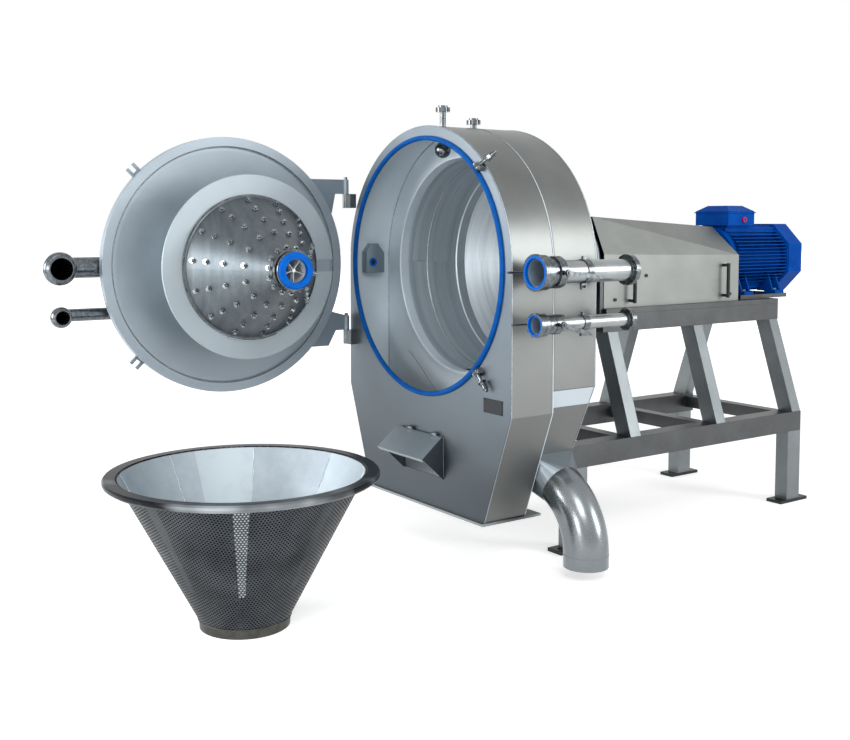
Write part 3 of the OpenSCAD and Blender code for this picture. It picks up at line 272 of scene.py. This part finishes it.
def polished_stainless(name, dark, light, roughness, rounded=0.8):
    """Mirror-polished stainless fittings: clear gloss with handling marks and darker tarnished patches."""
    material, tree, shader, coords, edges = start(name, rounded, Metallic=1.0)
    mark = {"Scale": 1 / (14 * MM), "Detail": 4.0, "Roughness": 0.65}
    marks = add(tree, "ShaderNodeTexNoise", mark, {"Vector": coords})[0]
    colour = two_tone(tree, marks, dark, light, 0.35, 0.65)
    surface(tree, shader, colour, marks, (roughness - 0.05, roughness + 0.09), marks, 0.2, 0.15, edges)
    return material


def moulded_rubber(name, dark, light, roughness=0.5):
    """Moulded silicone rubber: even, strong colour with a slight bloom and a soft skin, whose pits are
    drawn at 1.5 mm."""
    material, tree, shader, coords, edges = start(name, IOR=1.41, Specular_IOR_Level=0.1)
    patch, pit = 30 * MM, 1.5 * MM
    bloom = add(tree, "ShaderNodeTexNoise", {"Scale": 1 / patch, "Detail": 4.0}, {"Vector": coords})[0]
    skin = add(tree, "ShaderNodeTexNoise", {"Scale": 1 / pit, "Detail": 2.0}, {"Vector": coords})[0]
    colour = two_tone(tree, bloom, dark, light)
    surface(tree, shader, colour, bloom, (roughness - 0.06, roughness + 0.08), skin, 0.08, 0.4, edges)
    return material


def sprayed_enamel(name, dark, light, roughness=0.38):
    """Sprayed machine enamel on cast iron: orange peel about 2 mm across, over uneven patches."""
    material, tree, shader, coords, edges = start(name, 1.5, IOR=1.5, Specular_IOR_Level=0.03)
    patch, dimple = 70 * MM, 2.2 * MM
    patches = add(tree, "ShaderNodeTexNoise", {"Scale": 1 / patch, "Detail": 4.0}, {"Vector": coords})[0]
    peel = add(tree, "ShaderNodeTexNoise", {"Scale": 1 / dimple, "Detail": 2.0}, {"Vector": coords})[0]
    colour = two_tone(tree, patches, dark, light)
    surface(tree, shader, colour, patches, (roughness - 0.06, roughness + 0.1), peel, 0.2, 0.35, edges)
    return material


def moulded_plastic(name, dark, light, roughness=0.45):
    """Injection moulded plastic with a spark-eroded grain, drawn at 1.2 mm."""
    material, tree, shader, coords, edges = start(name, 1.0, IOR=1.49, Specular_IOR_Level=0.3)
    patch, grit = 20 * MM, 1.2 * MM
    patches = add(tree, "ShaderNodeTexNoise", {"Scale": 1 / patch, "Detail": 3.0}, {"Vector": coords})[0]
    grain = add(tree, "ShaderNodeTexNoise", {"Scale": 1 / grit, "Detail": 2.0}, {"Vector": coords})[0]
    colour = two_tone(tree, patches, dark, light, 0.0, 1.0)
    surface(tree, shader, colour, patches, (roughness - 0.06, roughness + 0.08), grain, 0.1, 0.5, edges)
    return material


def sieve_sheet(name, dark, light, cavity):
    """Slotted sieve sheet, rolled in panels: fine slots round the cone, 0.1 mm wide and drawn 5 mm apart
    so that they show, each panel a little lighter or darker, and the outside in deep shade."""
    material, tree, shader, coords, edges = start(name, Metallic=1.0, Anisotropic=0.5)
    angle, along, radius, turning = around(tree, coords, BASKET, "Z")
    slot_pitch, patch, sheet_depth, tone_row = 5 * MM, 70 * MM, 4.3, 11
    to_panel = {"operation": "MULTIPLY_ADD", 1: PANELS / math.tau, 2: tone_row - SEAM_AT * PANELS / 360}
    panel = add(tree, "ShaderNodeMath", to_panel, {0: angle})[0]
    panel = add(tree, "ShaderNodeMath", {"operation": "FLOOR"}, {0: panel})[0]
    tone = add(tree, "ShaderNodeTexWhiteNoise", {"noise_dimensions": "1D"}, {"W": panel})["Value"]
    worn = {"Scale": 1 / patch, "Detail": 5.0, "Roughness": 0.6}
    wear = add(tree, "ShaderNodeTexNoise", worn, {"Vector": coords})[0]
    tone = add(tree, "ShaderNodeMix", {"data_type": "FLOAT", "Factor": 0.45}, {2: tone, 3: wear})[0]
    colour = two_tone(tree, tone, dark, light, 0.25, 0.75)
    slope = add(tree, "ShaderNodeMath", {"operation": "MULTIPLY", 1: CONE_SLOPE}, {0: along})[0]
    base = add(tree, "ShaderNodeMath", {"operation": "SUBTRACT"}, {0: radius, 1: slope})[0]
    beyond = {"operation": "GREATER_THAN", 1: (CONE_BASE - sheet_depth) * MM}
    outside = add(tree, "ShaderNodeMath", beyond, {0: base})[0]
    colour = cover(tree, colour, cavity, outside)
    tree.links.new(turning, shader["Tangent"])
    slots = add(tree, "ShaderNodeMath", {"operation": "PINGPONG", 1: slot_pitch / 2}, {0: along})[0]
    slots = add(tree, "ShaderNodeMath", {"operation": "MULTIPLY", 1: 2 / slot_pitch}, {0: slots})[0]
    surface(tree, shader, colour, outside, (0.56, 0.85), slots, 0.12, 0.5, edges)
    return material


# How far a brushed pattern is drawn out along each axis: the smaller number is the grain's direction
ALONG_Y = (1.0, 0.04, 1.0)
ALONG_Z = (1.0, 1.0, 0.04)
NO_GRAIN = (1, 1, 1)

# Finishes: the housing, the chamber and the door
plate_finish = blasted_stainless("bead-blasted stainless plate", "#7A848B", "#868F97", foot="#52595E")
trough_finish = blasted_stainless("bead-blasted stainless trough", "#7A8389", "#868F95")
lid_finish = blasted_stainless("bead-blasted stainless lid", "#8F999F", "#9BA5AB")
band_finish = blasted_stainless("bead-blasted stainless band", "#6E7170", "#7A7D7B", 0.38, foot="#747675",
                                inside="#C6D1D8")
inner_finish = blasted_stainless("bead-blasted stainless chamber", "#C4D0D8", "#D2DDE4", 0.55, 0.35)
door_finish = blasted_stainless("bead-blasted stainless door", "#98A3AB", "#A3AEB6", 0.48, 0.85)
disc_finish = blasted_stainless("bead-blasted stainless disc", "#A0ABB1", "#ABB5BB", 0.5, 0.8)
leaf_finish = blasted_stainless("bead-blasted stainless leaf", "#7C8992", "#88959E", 0.5, 0.7)
drum_finish = turned_stainless("turned stainless drum", "#9CA6AE", "#D0D8DD", ROTOR, "Y", 0.4, 2.0, 0.4,
                               metallic=0.6, outside="#7C848A")
cone_finish = turned_stainless("brushed stainless cone", "#4E5458", "#6D757A", DOOR_MID, "Y", 0.42, 1.5,
                               0.35)

# Finishes: pipes, fittings, frame and guard
tube_finish = brushed_stainless("brushed stainless tube", "#8A8F90", "#A3A7A8", (1.0, 0.05, 1.0), 0.3)
mouth_finish = brushed_stainless("brushed stainless tube mouth", "#C9CED0", "#E2E6E7", NO_GRAIN, 0.3, 0.25)
elbow_finish = brushed_stainless("brushed stainless elbow", "#767C7F", "#8A9093", (1.0, 1.0, 0.3), 0.26)
rail_finish = brushed_stainless("ground stainless rail", "#4A4C4D", "#5A5C5D", ALONG_Y, 0.4, rounded=3.0)
leg_finish = brushed_stainless("ground stainless leg", "#6C7274", "#808688", ALONG_Z, 0.42,
                               rounded=3.0, foot="#383A3B")
guard_finish = brushed_stainless("brushed stainless guard", "#7A7D7B", "#878A87", (1.0, 0.02, 1.0), 0.5,
                                 depth=0.03, rounded=2.0)
cast_finish = brushed_stainless("machined stainless", "#5C6164", "#74797C", NO_GRAIN, 0.32, depth=0.2)
iron = brushed_stainless("machined cast iron", "#4A4D4F", "#5C5F61", NO_GRAIN, 0.45, depth=0.2)
fittings = polished_stainless("polished stainless", "#4E5356", "#777C7F", 0.22)
nozzle_finish = polished_stainless("polished stainless nozzle", "#60666A", "#A4AAAE", 0.16)
dark_pipes = polished_stainless("polished stainless pipe", "#50565B", "#70767A", 0.24)

# Finishes: welds
weld_finish = polished_stainless("welded stainless bead", "#8F969A", "#B4BABD", 0.3, 0.0)
dull_weld = brushed_stainless("blasted weld bead", "#6E7375", "#828788", NO_GRAIN, 0.5, rounded=0.0)

# Finishes: rubber, enamel and plastic
seal_blue = moulded_rubber("blue silicone seal", "#054788", "#0955A4")
gasket_blue = moulded_rubber("blue silicone gasket", "#0258B4", "#0564C6", 0.42)
motor_blue = sprayed_enamel("blue machine enamel", "#003E92", "#004BA2")
black_bar = moulded_plastic("black glass-filled nylon", "#15171A", "#222528")
plate_dark = moulded_plastic("dark anodised plate", "#1F2225", "#282B2E", 0.5)
plug_red = moulded_plastic("red polyethylene plug", "#A81014", "#BE181A")

# Finishes: the basket
rim_finish = turned_stainless("turned stainless rim", "#131518", "#272B2F", BASKET, "Z", 0.3, 2.0, 0.7,
                              painted_highlight="#9AA1A6")
skin_finish = brushed_stainless("perforated stainless", "#323538", "#5A5E62", NO_GRAIN, 0.42, rounded=0.0)
foot_finish = brushed_stainless("welded stainless ring", "#3F3F3D", "#5B5A56", (1, 1, 0.2), 0.45, depth=0.3,
                                cloud=30)
liner_finish = sieve_sheet("slotted stainless sieve sheet", "#7E8890", "#A0AAB0", "#0A0B0C")
# Painted highlight: the bright finish of the one strap that shows as a highlight strip down the basket.
highlight_strap_finish = brushed_stainless("bright stainless strap", "#A2A9AE", "#BAC1C5", NO_GRAIN, 0.36)

# Which CAD nodes each finish covers
for material, names in (
        (plate_finish, ("front_plate", "chute_body", "rear_plate")),
        (trough_finish, ("outlet_transition",)),
        (lid_finish, ("chute_flap",)),
        (band_finish, ("front_shell", "rear_shell")),
        (inner_finish, ("partition",)),
        (door_finish, ("door_dish", "door_rim")),
        (disc_finish, ("drum_disc",)),
        (leaf_finish, ("door_lugs",)),
        (drum_finish, ("drum_casing",)),
        (cone_finish, ("manifold_cone",)),
        (tube_finish, ("pulp_flange", "side_pipes", "clamp_ears")),
        (mouth_finish, ("feed_tube",)),
        (elbow_finish, ("outlet_elbow",)),
        (cast_finish, ("hinge_brackets", "shaft_bearings", "main_shaft", "rotor_hub", "motor_shaft")),
        (iron, ("bearing_housing", "drive_coupling")),
        (fittings, ("top_unions", "coupling_sockets", "pipe_unions", "pipe_clamps", "eyebolt_upper",
                    "eyebolt_lower", "feed_lever_right", "feed_lever_left", "wash_lever_right",
                    "wash_lever_left")),
        (nozzle_finish, ("spray_nozzles",)),
        (dark_pipes, ("door_pipes",)),
        (rail_finish, ("upper_rails", "lower_frame", "bed_plate", "mount_plate")),
        (leg_finish, ("inclined_legs", "uprights")),
        (guard_finish, ("guard_cover",)),
        (seal_blue, ("door_seal",)),
        (gasket_blue, ("coupling_gaskets", "tip_gasket")),
        (motor_blue, ("motor_frame", "terminal_box", "motor_fittings", "fan_cowl")),
        (black_bar, ("cooling_fan", "guard_fittings")),
        (plate_dark, ("nameplate",)),
        (rim_finish, ("basket_rim",)),
        (foot_finish, ("basket_foot_ring",)),
        (liner_finish, ("sieve_liner",))):
    for name in names:
        slots = nodes[name].data.materials
        slots.clear()
        slots.append(material)


def finished(name, shape, material, body, smooth=35):
    """A piece from its bmesh, shaded smooth up to that many degrees, that rides on a body."""
    mesh = bpy.data.meshes.new(name)
    shape.to_mesh(mesh)
    shape.free()
    mesh.materials.append(material)
    mesh.shade_smooth()
    mesh.set_sharp_from_angle(angle=math.radians(smooth))
    piece = bpy.data.objects.new(name, mesh)
    scene.collection.objects.link(piece)
    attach(piece, body)
    return piece


def tidy(shape):
    """Doubles merged, then normals outwards."""
    bmesh.ops.remove_doubles(shape, verts=shape.verts, dist=1e-6)
    bmesh.ops.recalc_face_normals(shape, faces=shape.faces)


def ring(profile, centre, axis, steps=96):
    """A closed profile of (radius, along) points in millimetres, spun round an axis through centre."""
    out = Vector((0, 0, 1)) if axis == "X" else Vector((1, 0, 0))
    up = Vector([float(letter == axis) for letter in "XYZ"])
    shape = bmesh.new()
    points = [shape.verts.new(centre + out * r * MM + up * a * MM) for r, a in profile]
    lines = [shape.edges.new(pair) for pair in zip(points, points[1:] + points[:1])]
    bmesh.ops.spin(shape, geom=points + lines, cent=centre, axis=up, angle=math.tau, steps=steps,
                   use_merge=True)
    tidy(shape)
    return shape


def bead(path, radius, closed=False, ripple=0.22):
    """A weld bead along a path of close points: a small hexagon carried along, thicker and thinner by
    turns, as each drop of the weld freezes on the last."""
    shape = bmesh.new()
    points = list(path) + ([path[0]] if closed else [])
    ahead = [(b - a).normalized() for a, b in zip(points, points[1:])]
    ahead.append(ahead[0] if closed else ahead[-1])
    start_turn = Vector((0, 0, 1)).rotation_difference(ahead[0]).to_matrix().to_4x4()
    bmesh.ops.create_circle(shape, cap_ends=not closed, segments=6, radius=radius * MM,
                            matrix=Matrix.Translation(points[0]) @ start_turn)
    edge_ring = list(shape.edges)
    thick = 1.0
    for index in range(1, len(points)):
        grown = bmesh.ops.extrude_edge_only(shape, edges=edge_ring)["geom"]
        verts = [g for g in grown if isinstance(g, bmesh.types.BMVert)]
        edge_ring = [g for g in grown if isinstance(g, bmesh.types.BMEdge)]
        turn = ahead[index - 1].rotation_difference(ahead[index]).to_matrix()
        next_thick = 1 + ripple if index % 2 else 1 - ripple
        bmesh.ops.translate(shape, verts=verts, vec=points[index] - points[index - 1])
        for v in verts:
            v.co = points[index] + turn @ (v.co - points[index]) * (next_thick / thick)
        thick = next_thick
    if not closed:
        bmesh.ops.contextual_create(shape, geom=edge_ring)
    tidy(shape)
    return shape


BEAD_STEP = 5.0


def stepped(corners):
    """Points about a step apart along straight lines between corners, in millimetres."""
    path = []
    for a, b in zip(corners, corners[1:]):
        a, b = Vector(a), Vector(b)
        count = max(2, round((b - a).length / BEAD_STEP))
        path += [a.lerp(b, k / count) for k in range(count)]
    return path + [Vector(corners[-1])]


def circle(centre, radius, axis):
    """Points round a circle across an axis, about a step apart, in millimetres."""
    count = 2 * round(math.pi * radius / BEAD_STEP)
    cx, cy, cz = centre
    points = []
    for k in range(count):
        c, s = radius * math.cos(math.tau * k / count), radius * math.sin(math.tau * k / count)
        points.append((cx + c, cy, cz + s) if axis == "Y" else (cx + c, cy + s, cz))
    return points


def arch(half, taper_z, base_z, base_w, y):
    """Corners of a chamber's outline at depth y: foot, straight sides and round top."""
    top = [(half * math.cos(math.radians(a)), y, ROTOR_Z + half * math.sin(math.radians(a)))
           for a in range(0, 181, 2)]
    return [(base_w, y, base_z), (half, y, taper_z)] + top + [(-half, y, taper_z), (-base_w, y, base_z)]


def weld(name, path, radius, body="housing", closed=False, place=None, metal=weld_finish):
    """A bead of weld on a body. A place moves it to where the body stands at rest."""
    points = path if closed else stepped(path)
    shape = bead([at(*p) for p in points], radius, closed)
    if place is not None:
        bmesh.ops.transform(shape, matrix=place, verts=shape.verts)
    return finished(name, shape, metal, body, 60)


# Weld seams of the housing and of the drum casing in it
CASING_R = 453
CASING_STEP_Y = 343
CASING_SEAM_Y = (238, 338)
PART_SEAM = ((-403, 799), (-184, 637))
ELBOW = (649, 325, 93)
ELBOW_R = 89
taper_z, base_z, base_w = FRONT_OUTLINE
weld("plate_edge_weld", arch(HALF_W, *FRONT_OUTLINE, SHEET), 1.8)
weld("band_seam_front", arch(HALF_W, *FRONT_OUTLINE, PART_Y - 2)[1:-1], 0.9, metal=dull_weld)
weld("band_seam_rear", arch(HALF_W, *REAR_OUTLINE, PART_Y + SHEET + 2), 1.3, metal=dull_weld)
weld("rear_edge_weld", arch(HALF_W, *REAR_OUTLINE, REAR_Y - SHEET), 1.8)
weld("chamber_corner_weld", arch(HALF_W - SHEET - 1, taper_z, base_z + 6, base_w - 3, PART_Y - 1), 2.2)
weld("casing_ring_weld", circle((0, CASING_STEP_Y, ROTOR_Z), CASING_R - 1.5, "Y"), 2.6, closed=True)
weld("casing_seam", [(-CASING_R, y, ROTOR_Z + 4) for y in CASING_SEAM_Y], 1.2)
weld("partition_seam", [(x, PART_Y - 0.5, z) for x, z in PART_SEAM], 2.0)
weld("elbow_weld", circle(ELBOW, ELBOW_R - 0.2, "Z"), 1.2, closed=True, metal=dull_weld)

# Perforated skin of the basket: a flat sheet with staggered round holes, rolled with one seam
PITCH = 11.2
HOLE = 7.0
SKIN_T = 1.5
SECTORS = 4
sine, cosine = math.sin(CONE_TILT), math.cos(CONE_TILT)
foot_reach = SKIN_FOOT_R / sine
rim_reach = foot_reach + SKIN_H / cosine
sheet_turn = math.tau * sine


def cell_mesh():
    """One hexagon of sheet with its hole."""
    shape = bmesh.new()
    outer = bmesh.ops.create_circle(shape, segments=6, radius=PITCH / math.sqrt(3))["verts"]
    bmesh.ops.rotate(shape, verts=outer, cent=(0, 0, 0), matrix=Matrix.Rotation(math.radians(30), 3, "Z"))
    bmesh.ops.subdivide_edges(shape, edges=shape.edges, cuts=1)
    bmesh.ops.create_circle(shape, segments=12, radius=HOLE / 2)
    bmesh.ops.bridge_loops(shape, edges=shape.edges)
    mesh = bpy.data.meshes.new("cell")
    shape.to_mesh(mesh)
    shape.free()
    return mesh


def hole_centres(low_turn, high_turn):
    """Centres of the holes in the flat sheet between two turns round the cone's apex."""
    row_step = PITCH * math.sqrt(3) / 2
    centres = []
    for row in range(round(-rim_reach / row_step), round(rim_reach / row_step)):
        x = row * row_step
        for column in range(-2, round(rim_reach / PITCH) + 2):
            y = (column + (row % 2) / 2) * PITCH
            on_sheet = foot_reach < math.hypot(x, y) < rim_reach
            if on_sheet and low_turn <= math.atan2(y, x) % math.tau < high_turn:
                centres.append((x, y))
    return centres


def rolled(x, y):
    """A point of the flat sheet on the outside of the cone."""
    reach, turn = math.hypot(x, y), math.atan2(y, x)
    radius = reach * sine
    angle = math.radians(SEAM_AT) + turn / sine
    return at(BASKET_X + radius * math.cos(angle), BASKET_Y + radius * math.sin(angle),
              SKIN_FOOT_Z + (reach - foot_reach) * cosine)


def skin_shape(cell, centres):
    """A stretch of the perforated skin: the cells rolled on the cone, joined and given their thickness."""
    shape = bmesh.new()
    for centre in centres:
        shape.from_mesh(cell)
    per_cell = len(cell.vertices)
    for index, v in enumerate(shape.verts):
        x, y = centres[index // per_cell]
        v.co = rolled(x + v.co.x, y + v.co.y)
    bmesh.ops.remove_doubles(shape, verts=shape.verts, dist=2e-5)
    shape.faces.ensure_lookup_table()
    face = shape.faces[0]
    outward = (face.calc_center_median() - BASKET) * Vector((1, 1, 0))
    face.normal_update()
    if face.normal.dot(outward) < 0:
        bmesh.ops.reverse_faces(shape, faces=shape.faces)
    shape.normal_update()
    bmesh.ops.solidify(shape, geom=shape.faces, thickness=SKIN_T * MM)
    return shape


cell = cell_mesh()
for sector in range(SECTORS):
    centres = hole_centres(sheet_turn * sector / SECTORS, sheet_turn * (sector + 1) / SECTORS)
    piece = finished(f"perforated_skin_{sector + 1}", skin_shape(cell, centres), skin_finish, "basket",
                     30)
    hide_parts("basket_cone")

# Straps behind the skin and rough welds inside, at the seams of the sieve sheet's panels. A strap
# starts a little past its seam, and its width in degrees grows with its height.
STRAP_Z = (170, 500)
STRAP_GAP = 0.6
STRAP_TURN = 6.4
STRAP_FLARE = 2
STRAP_T = 0.8
STRAP_INSET = 1.7
PANEL_WELD_Z = (34, 530)
PANEL_WELD_INSET = 5.6


def on_cone(angle, z, inset):
    """A point at an angle and height, that many millimetres inside the basket's skin."""
    radius = CONE_BASE + CONE_SLOPE * z - inset
    return at(BASKET_X + radius * math.cos(math.radians(angle)),
              BASKET_Y + radius * math.sin(math.radians(angle)), z)


def panel_strap(angle):
    """A thin strip of sheet laid on the cone at an angle."""
    low, high = STRAP_Z
    shape = bmesh.new()
    bmesh.ops.create_grid(shape, x_segments=6, y_segments=24, size=0.5)
    for v in shape.verts:
        turn = STRAP_GAP + (v.co.x + 0.5) * (STRAP_TURN + STRAP_FLARE * v.co.y)
        v.co = on_cone(angle + turn, low + (v.co.y + 0.5) * (high - low), STRAP_INSET)
    bmesh.ops.recalc_face_normals(shape, faces=shape.faces)
    bmesh.ops.solidify(shape, geom=shape.faces, thickness=STRAP_T * MM)
    return shape


# The first strap is painted bright, a painted highlight down the basket; the others take the darker iron
# finish.
for number in range(PANELS):
    angle = SEAM_AT + 360 / PANELS * number
    finished(f"panel_strap_{number + 1}", panel_strap(angle), iron if number else highlight_strap_finish, "basket")
    path = [on_cone(angle + 0.25 * math.sin(z * 0.11), z, PANEL_WELD_INSET) for z in range(*PANEL_WELD_Z, 6)]
    finished(f"panel_weld_{number + 1}", bead(path, 1.5, ripple=0.3), weld_finish, "basket",
             60)
weld("foot_ring_weld", circle((BASKET_X, BASKET_Y, SKIN_FOOT_Z + 2), SKIN_FOOT_R + 1.5, "Z"), 2.6,
     "basket", True, metal=foot_finish)

# Door: bead between rim and dish, lip round the cone's foot, collar rings behind the blue gasket
DISH_Y = -25.5
DISH_R = 500
DOOR_RINGS = (("cone_lip", [(291, 216), (296, 216), (297, 220), (296, 224), (291, 224)]),
              ("tip_collar", [(66, 588), (80, 588), (84, 592), (84, 600), (80, 604), (66, 604)]),
              ("tip_ring", [(58, 610), (74, 610), (76, 613), (76, 618), (74, 621), (58, 621)]))
weld("rim_weld", circle((0, DISH_Y, ROTOR_Z), DISH_R, "Y"), 2.2, "door", True, DOOR_REST)
for name, profile in DOOR_RINGS:
    shape = ring(profile, ROTOR, "Y", 120)
    bmesh.ops.transform(shape, matrix=DOOR_REST, verts=shape.verts)
    finished(name, shape, fittings, "door")

# Linings inside the couplings, where the mating pipe seats: lip and bore are radii
CUP_X = 705
CUP_FACE = 3
WASH_DROP = 192
for name, z, lip, bore in (("feed_cup_bore", ROTOR_Z, 52.6, 40.2),
                           ("wash_cup_bore", ROTOR_Z - WASH_DROP, 34.2, 23.2)):
    shape = ring([(lip, 13), (lip, 15), (bore + 0.6, 47), (bore + 0.6, 160), (bore, 160), (bore, 46),
                  (lip - 2.5, 13)], at(CUP_X, CUP_FACE, z), "Y", 72)
    finished(name, shape, leaf_finish, "housing")

# Motor: bolts and washers on its feet, and the red plug of the terminal box's spare entry
FEET_X = (-139.5, 139.5)
FEET_Y = (1872, 2113)
FEET_Z = 1020
BOLT_HEAD = [(6.2, 16), (13.4, 16), (13.4, 24.6), (11.5, 26.2), (6.2, 26.2)]
WASHER = [(6.2, 12.2), (16, 12.2), (16, 15.4), (6.2, 15.4)]
PLUG = [(3, 0.2), (15.4, 0.2), (15.4, 7), (13.5, 9.4), (9, 9.4), (8, 7.5), (3, 7.5)]
for number, (x, y) in enumerate([(x, y) for y in FEET_Y for x in FEET_X], 1):
    foot = at(x, y, FEET_Z)
    finished(f"foot_bolt_{number}", ring(BOLT_HEAD, foot, "Z", 6), cast_finish, "housing",
             20)
    finished(f"foot_washer_{number}", ring(WASHER, foot, "Z", 48), cast_finish, "housing")
entry = at(105, 1907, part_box("terminal_box")[0].z / MM + 30)
finished("entry_plug", ring(PLUG, entry, "X", 48), plug_red, "housing")

# Inspection chute: welds up its two cheeks
CHUTE_X = 4
CHUTE_W = 290
CHEEK_Z = (508, 340)
for name, side in (("cheek_weld", 1), ("cheek_weld_left", -1)):
    cheek_x = CHUTE_X + side * (CHUTE_W / 2 + 0.6)
    weld(name, [(cheek_x, -0.6, z) for z in CHEEK_Z], 1.6, metal=dull_weld)

# Welds where the posts stand on their foot plates
POST_X = (387, 317)
POST_Y = (481, 1924)
POST_D = 96
FOOT_PLATE_T = 15
for number, (side, near) in enumerate([(side, y) for side in (-1, 1) for y in POST_Y], 1):
    x0, x1 = side * POST_X[0], side * POST_X[1]
    outline = ((x0, near), (x1, near), (x1, near + POST_D), (x0, near + POST_D), (x0, near))
    weld(f"foot_weld_{number}", [(x, y, FOOT_PLATE_T + 0.3) for x, y in outline], 2.4, metal=dull_weld)

# Spray ball and its neck under the chamber's roof
BALL = at(0, 103, ROTOR_Z + HALF_W - 94)
BALL_R = 34
NECK = [(6, 32), (15, 32), (15, 40), (12, 43), (12, 88), (6, 88)]
shape = bmesh.new()
bmesh.ops.create_uvsphere(shape, u_segments=48, v_segments=32, radius=BALL_R * MM,
                          matrix=Matrix.Translation(BALL))
spray_ball = finished("spray_ball", shape, fittings, "housing")
finished("spray_neck", ring(NECK, BALL, "Z", 48), fittings, "housing")
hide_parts("spray_fittings")

# Rinse nozzle: a bracket from the chamber's wall, corners by depth and height over the rotor axis,
# with a rubber ring and a black core on its face
BRACKET_X = -532
BRACKET = [(60, -49), (156, -49), (156, 43), (122, 85), (86, 85), (60, 47)]
NOZZLE_Y = 94
NOZZLE_RING = [(12, 0), (20, 0), (20, 4), (18, 5.5), (14, 5.5), (12, 4)]
NOZZLE_CORE = [(0.5, 0), (12.2, 0), (12.2, 2), (8, 2.6), (5, 1), (0.5, 1)]
shape = bmesh.new()
front = shape.faces.new([shape.verts.new(at(BRACKET_X, y, ROTOR_Z + z)) for y, z in BRACKET])
back = bmesh.ops.extrude_face_region(shape, geom=[front])["geom"]
for v in (g for g in back if isinstance(g, bmesh.types.BMVert)):
    rise = max(0.0, v.co.z / MM - ROTOR_Z)
    v.co.x = (0.5 - math.sqrt((HALF_W - SHEET) ** 2 - rise ** 2)) * MM
tidy(shape)
bmesh.ops.bevel(shape, geom=shape.edges[:], offset=1.2 * MM, affect="EDGES", segments=2, profile=0.5,
                material=-1)
bracket = finished("nozzle_bracket", shape, leaf_finish, "housing", 30)
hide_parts("spray_fittings")
nozzle = at(BRACKET_X, NOZZLE_Y, ROTOR_Z)
finished("nozzle_ring", ring(NOZZLE_RING, nozzle, "X", 48), gasket_blue, "housing")
finished("nozzle_core", ring(NOZZLE_CORE, nozzle, "X", 24), black_bar, "housing")

# Camera, in metres
AIM = Vector((-0.8165, 0.5730, -0.0711))
camera = bpy.data.cameras.new("camera")
camera.sensor_width = 36
camera.lens = 46.4
camera.shift_y = -0.0828
camera.clip_end = 100
camera_object = bpy.data.objects.new("camera", camera)
camera_object.location = (3.725, PLATE_Y - 2.602, 1.386)
camera_object.rotation_euler = AIM.to_track_quat("-Z", "Y").to_euler()
scene.collection.objects.link(camera_object)
scene.camera = camera_object

# Soft lamps, in metres and watts: name, place, the point that it shines at, width and height, power
LAMPS = (("right lamp", (5.8, 3.3, 2.7), (0.3, -0.8, 1.2), (2.2, 3.2), 210),
         ("front lamp", (-1.8, -6.2, 1.9), (-0.3, -1.0, 1.1), (3.0, 1.6), 210),
         ("mouth lamp", (2.6, -5.6, 1.35), (-0.3, -0.8, 1.2), (1.0, 1.0), 55),
         ("high lamp", (4.4, -3.2, 4.2), (-0.4, -0.9, 1.0), (2.2, 2.2), 110))
for name, place, target, size, power in LAMPS:
    lamp = bpy.data.lights.new(name, "AREA")
    lamp.shape = "RECTANGLE"
    lamp.size, lamp.size_y = size
    lamp.energy = power
    lamp_object = bpy.data.objects.new(name, lamp)
    lamp_object.location = place
    lamp_object.rotation_euler = (Vector(target) - Vector(place)).to_track_quat("-Z", "Y").to_euler()
    scene.collection.objects.link(lamp_object)


def seen_directly(tree):
    """1 for rays that show the surround itself, as the camera, gloss and glass see it."""
    path = add(tree, "ShaderNodeLightPath")
    seen = add(tree, "ShaderNodeMath", {"operation": "MAXIMUM"},
               {0: path["Is Camera Ray"], 1: path["Is Glossy Ray"]})[0]
    return add(tree, "ShaderNodeMath", {"operation": "MAXIMUM"},
               {0: seen, 1: path["Is Transmission Ray"]})[0]


# White surround, half as strong on matt surfaces as it looks
WHITE = (1, 1, 1, 1)
scene.view_settings.view_transform = "Standard"
world = bpy.data.worlds.new("studio")
scene.world = world
sky = blank_tree(world)
level = add(sky, "ShaderNodeMapRange", {"To Min": 0.5, "To Max": 1.0}, {"Value": seen_directly(sky)})[0]
backdrop = add(sky, "ShaderNodeBackground", {"Color": WHITE}, {"Strength": level})[0]
add(sky, "ShaderNodeOutputWorld", links={"Surface": backdrop})

# Pale floor that keeps the shadows and goes over to white with distance
FLOOR_HALF = 40
floor_mesh = bpy.data.meshes.new("floor")
shape = bmesh.new()
bmesh.ops.create_grid(shape, x_segments=1, y_segments=1, size=FLOOR_HALF)
bmesh.ops.translate(shape, verts=shape.verts, vec=(0, 0, -0.5 * MM))
shape.to_mesh(floor_mesh)
shape.free()
floor = bpy.data.objects.new("floor", floor_mesh)
scene.collection.objects.link(floor)
floor_paint = bpy.data.materials.new("pale studio floor")
tree = blank_tree(floor_paint)
coords = add(tree, "ShaderNodeTexCoord")["Object"]
reach = add(tree, "ShaderNodeVectorMath", {"operation": "LENGTH"}, {0: coords})["Value"]
fade = {"From Min": 2.5, "From Max": 9.0, "To Min": 0.55, "To Max": 1.0}
glow = add(tree, "ShaderNodeMapRange", fade, {"Value": reach})[0]
glow = add(tree, "ShaderNodeMath", {"operation": "MULTIPLY"}, {0: glow, 1: seen_directly(tree)})[0]
matte = add(tree, "ShaderNodeBsdfDiffuse", {"Color": linear("#E4E4E4")})[0]
shine = add(tree, "ShaderNodeEmission", {"Color": WHITE}, {"Strength": glow})[0]
both = add(tree, "ShaderNodeAddShader", links={0: matte, 1: shine})[0]
add(tree, "ShaderNodeOutputMaterial", links={"Surface": both})
floor.data.materials.append(floor_paint)
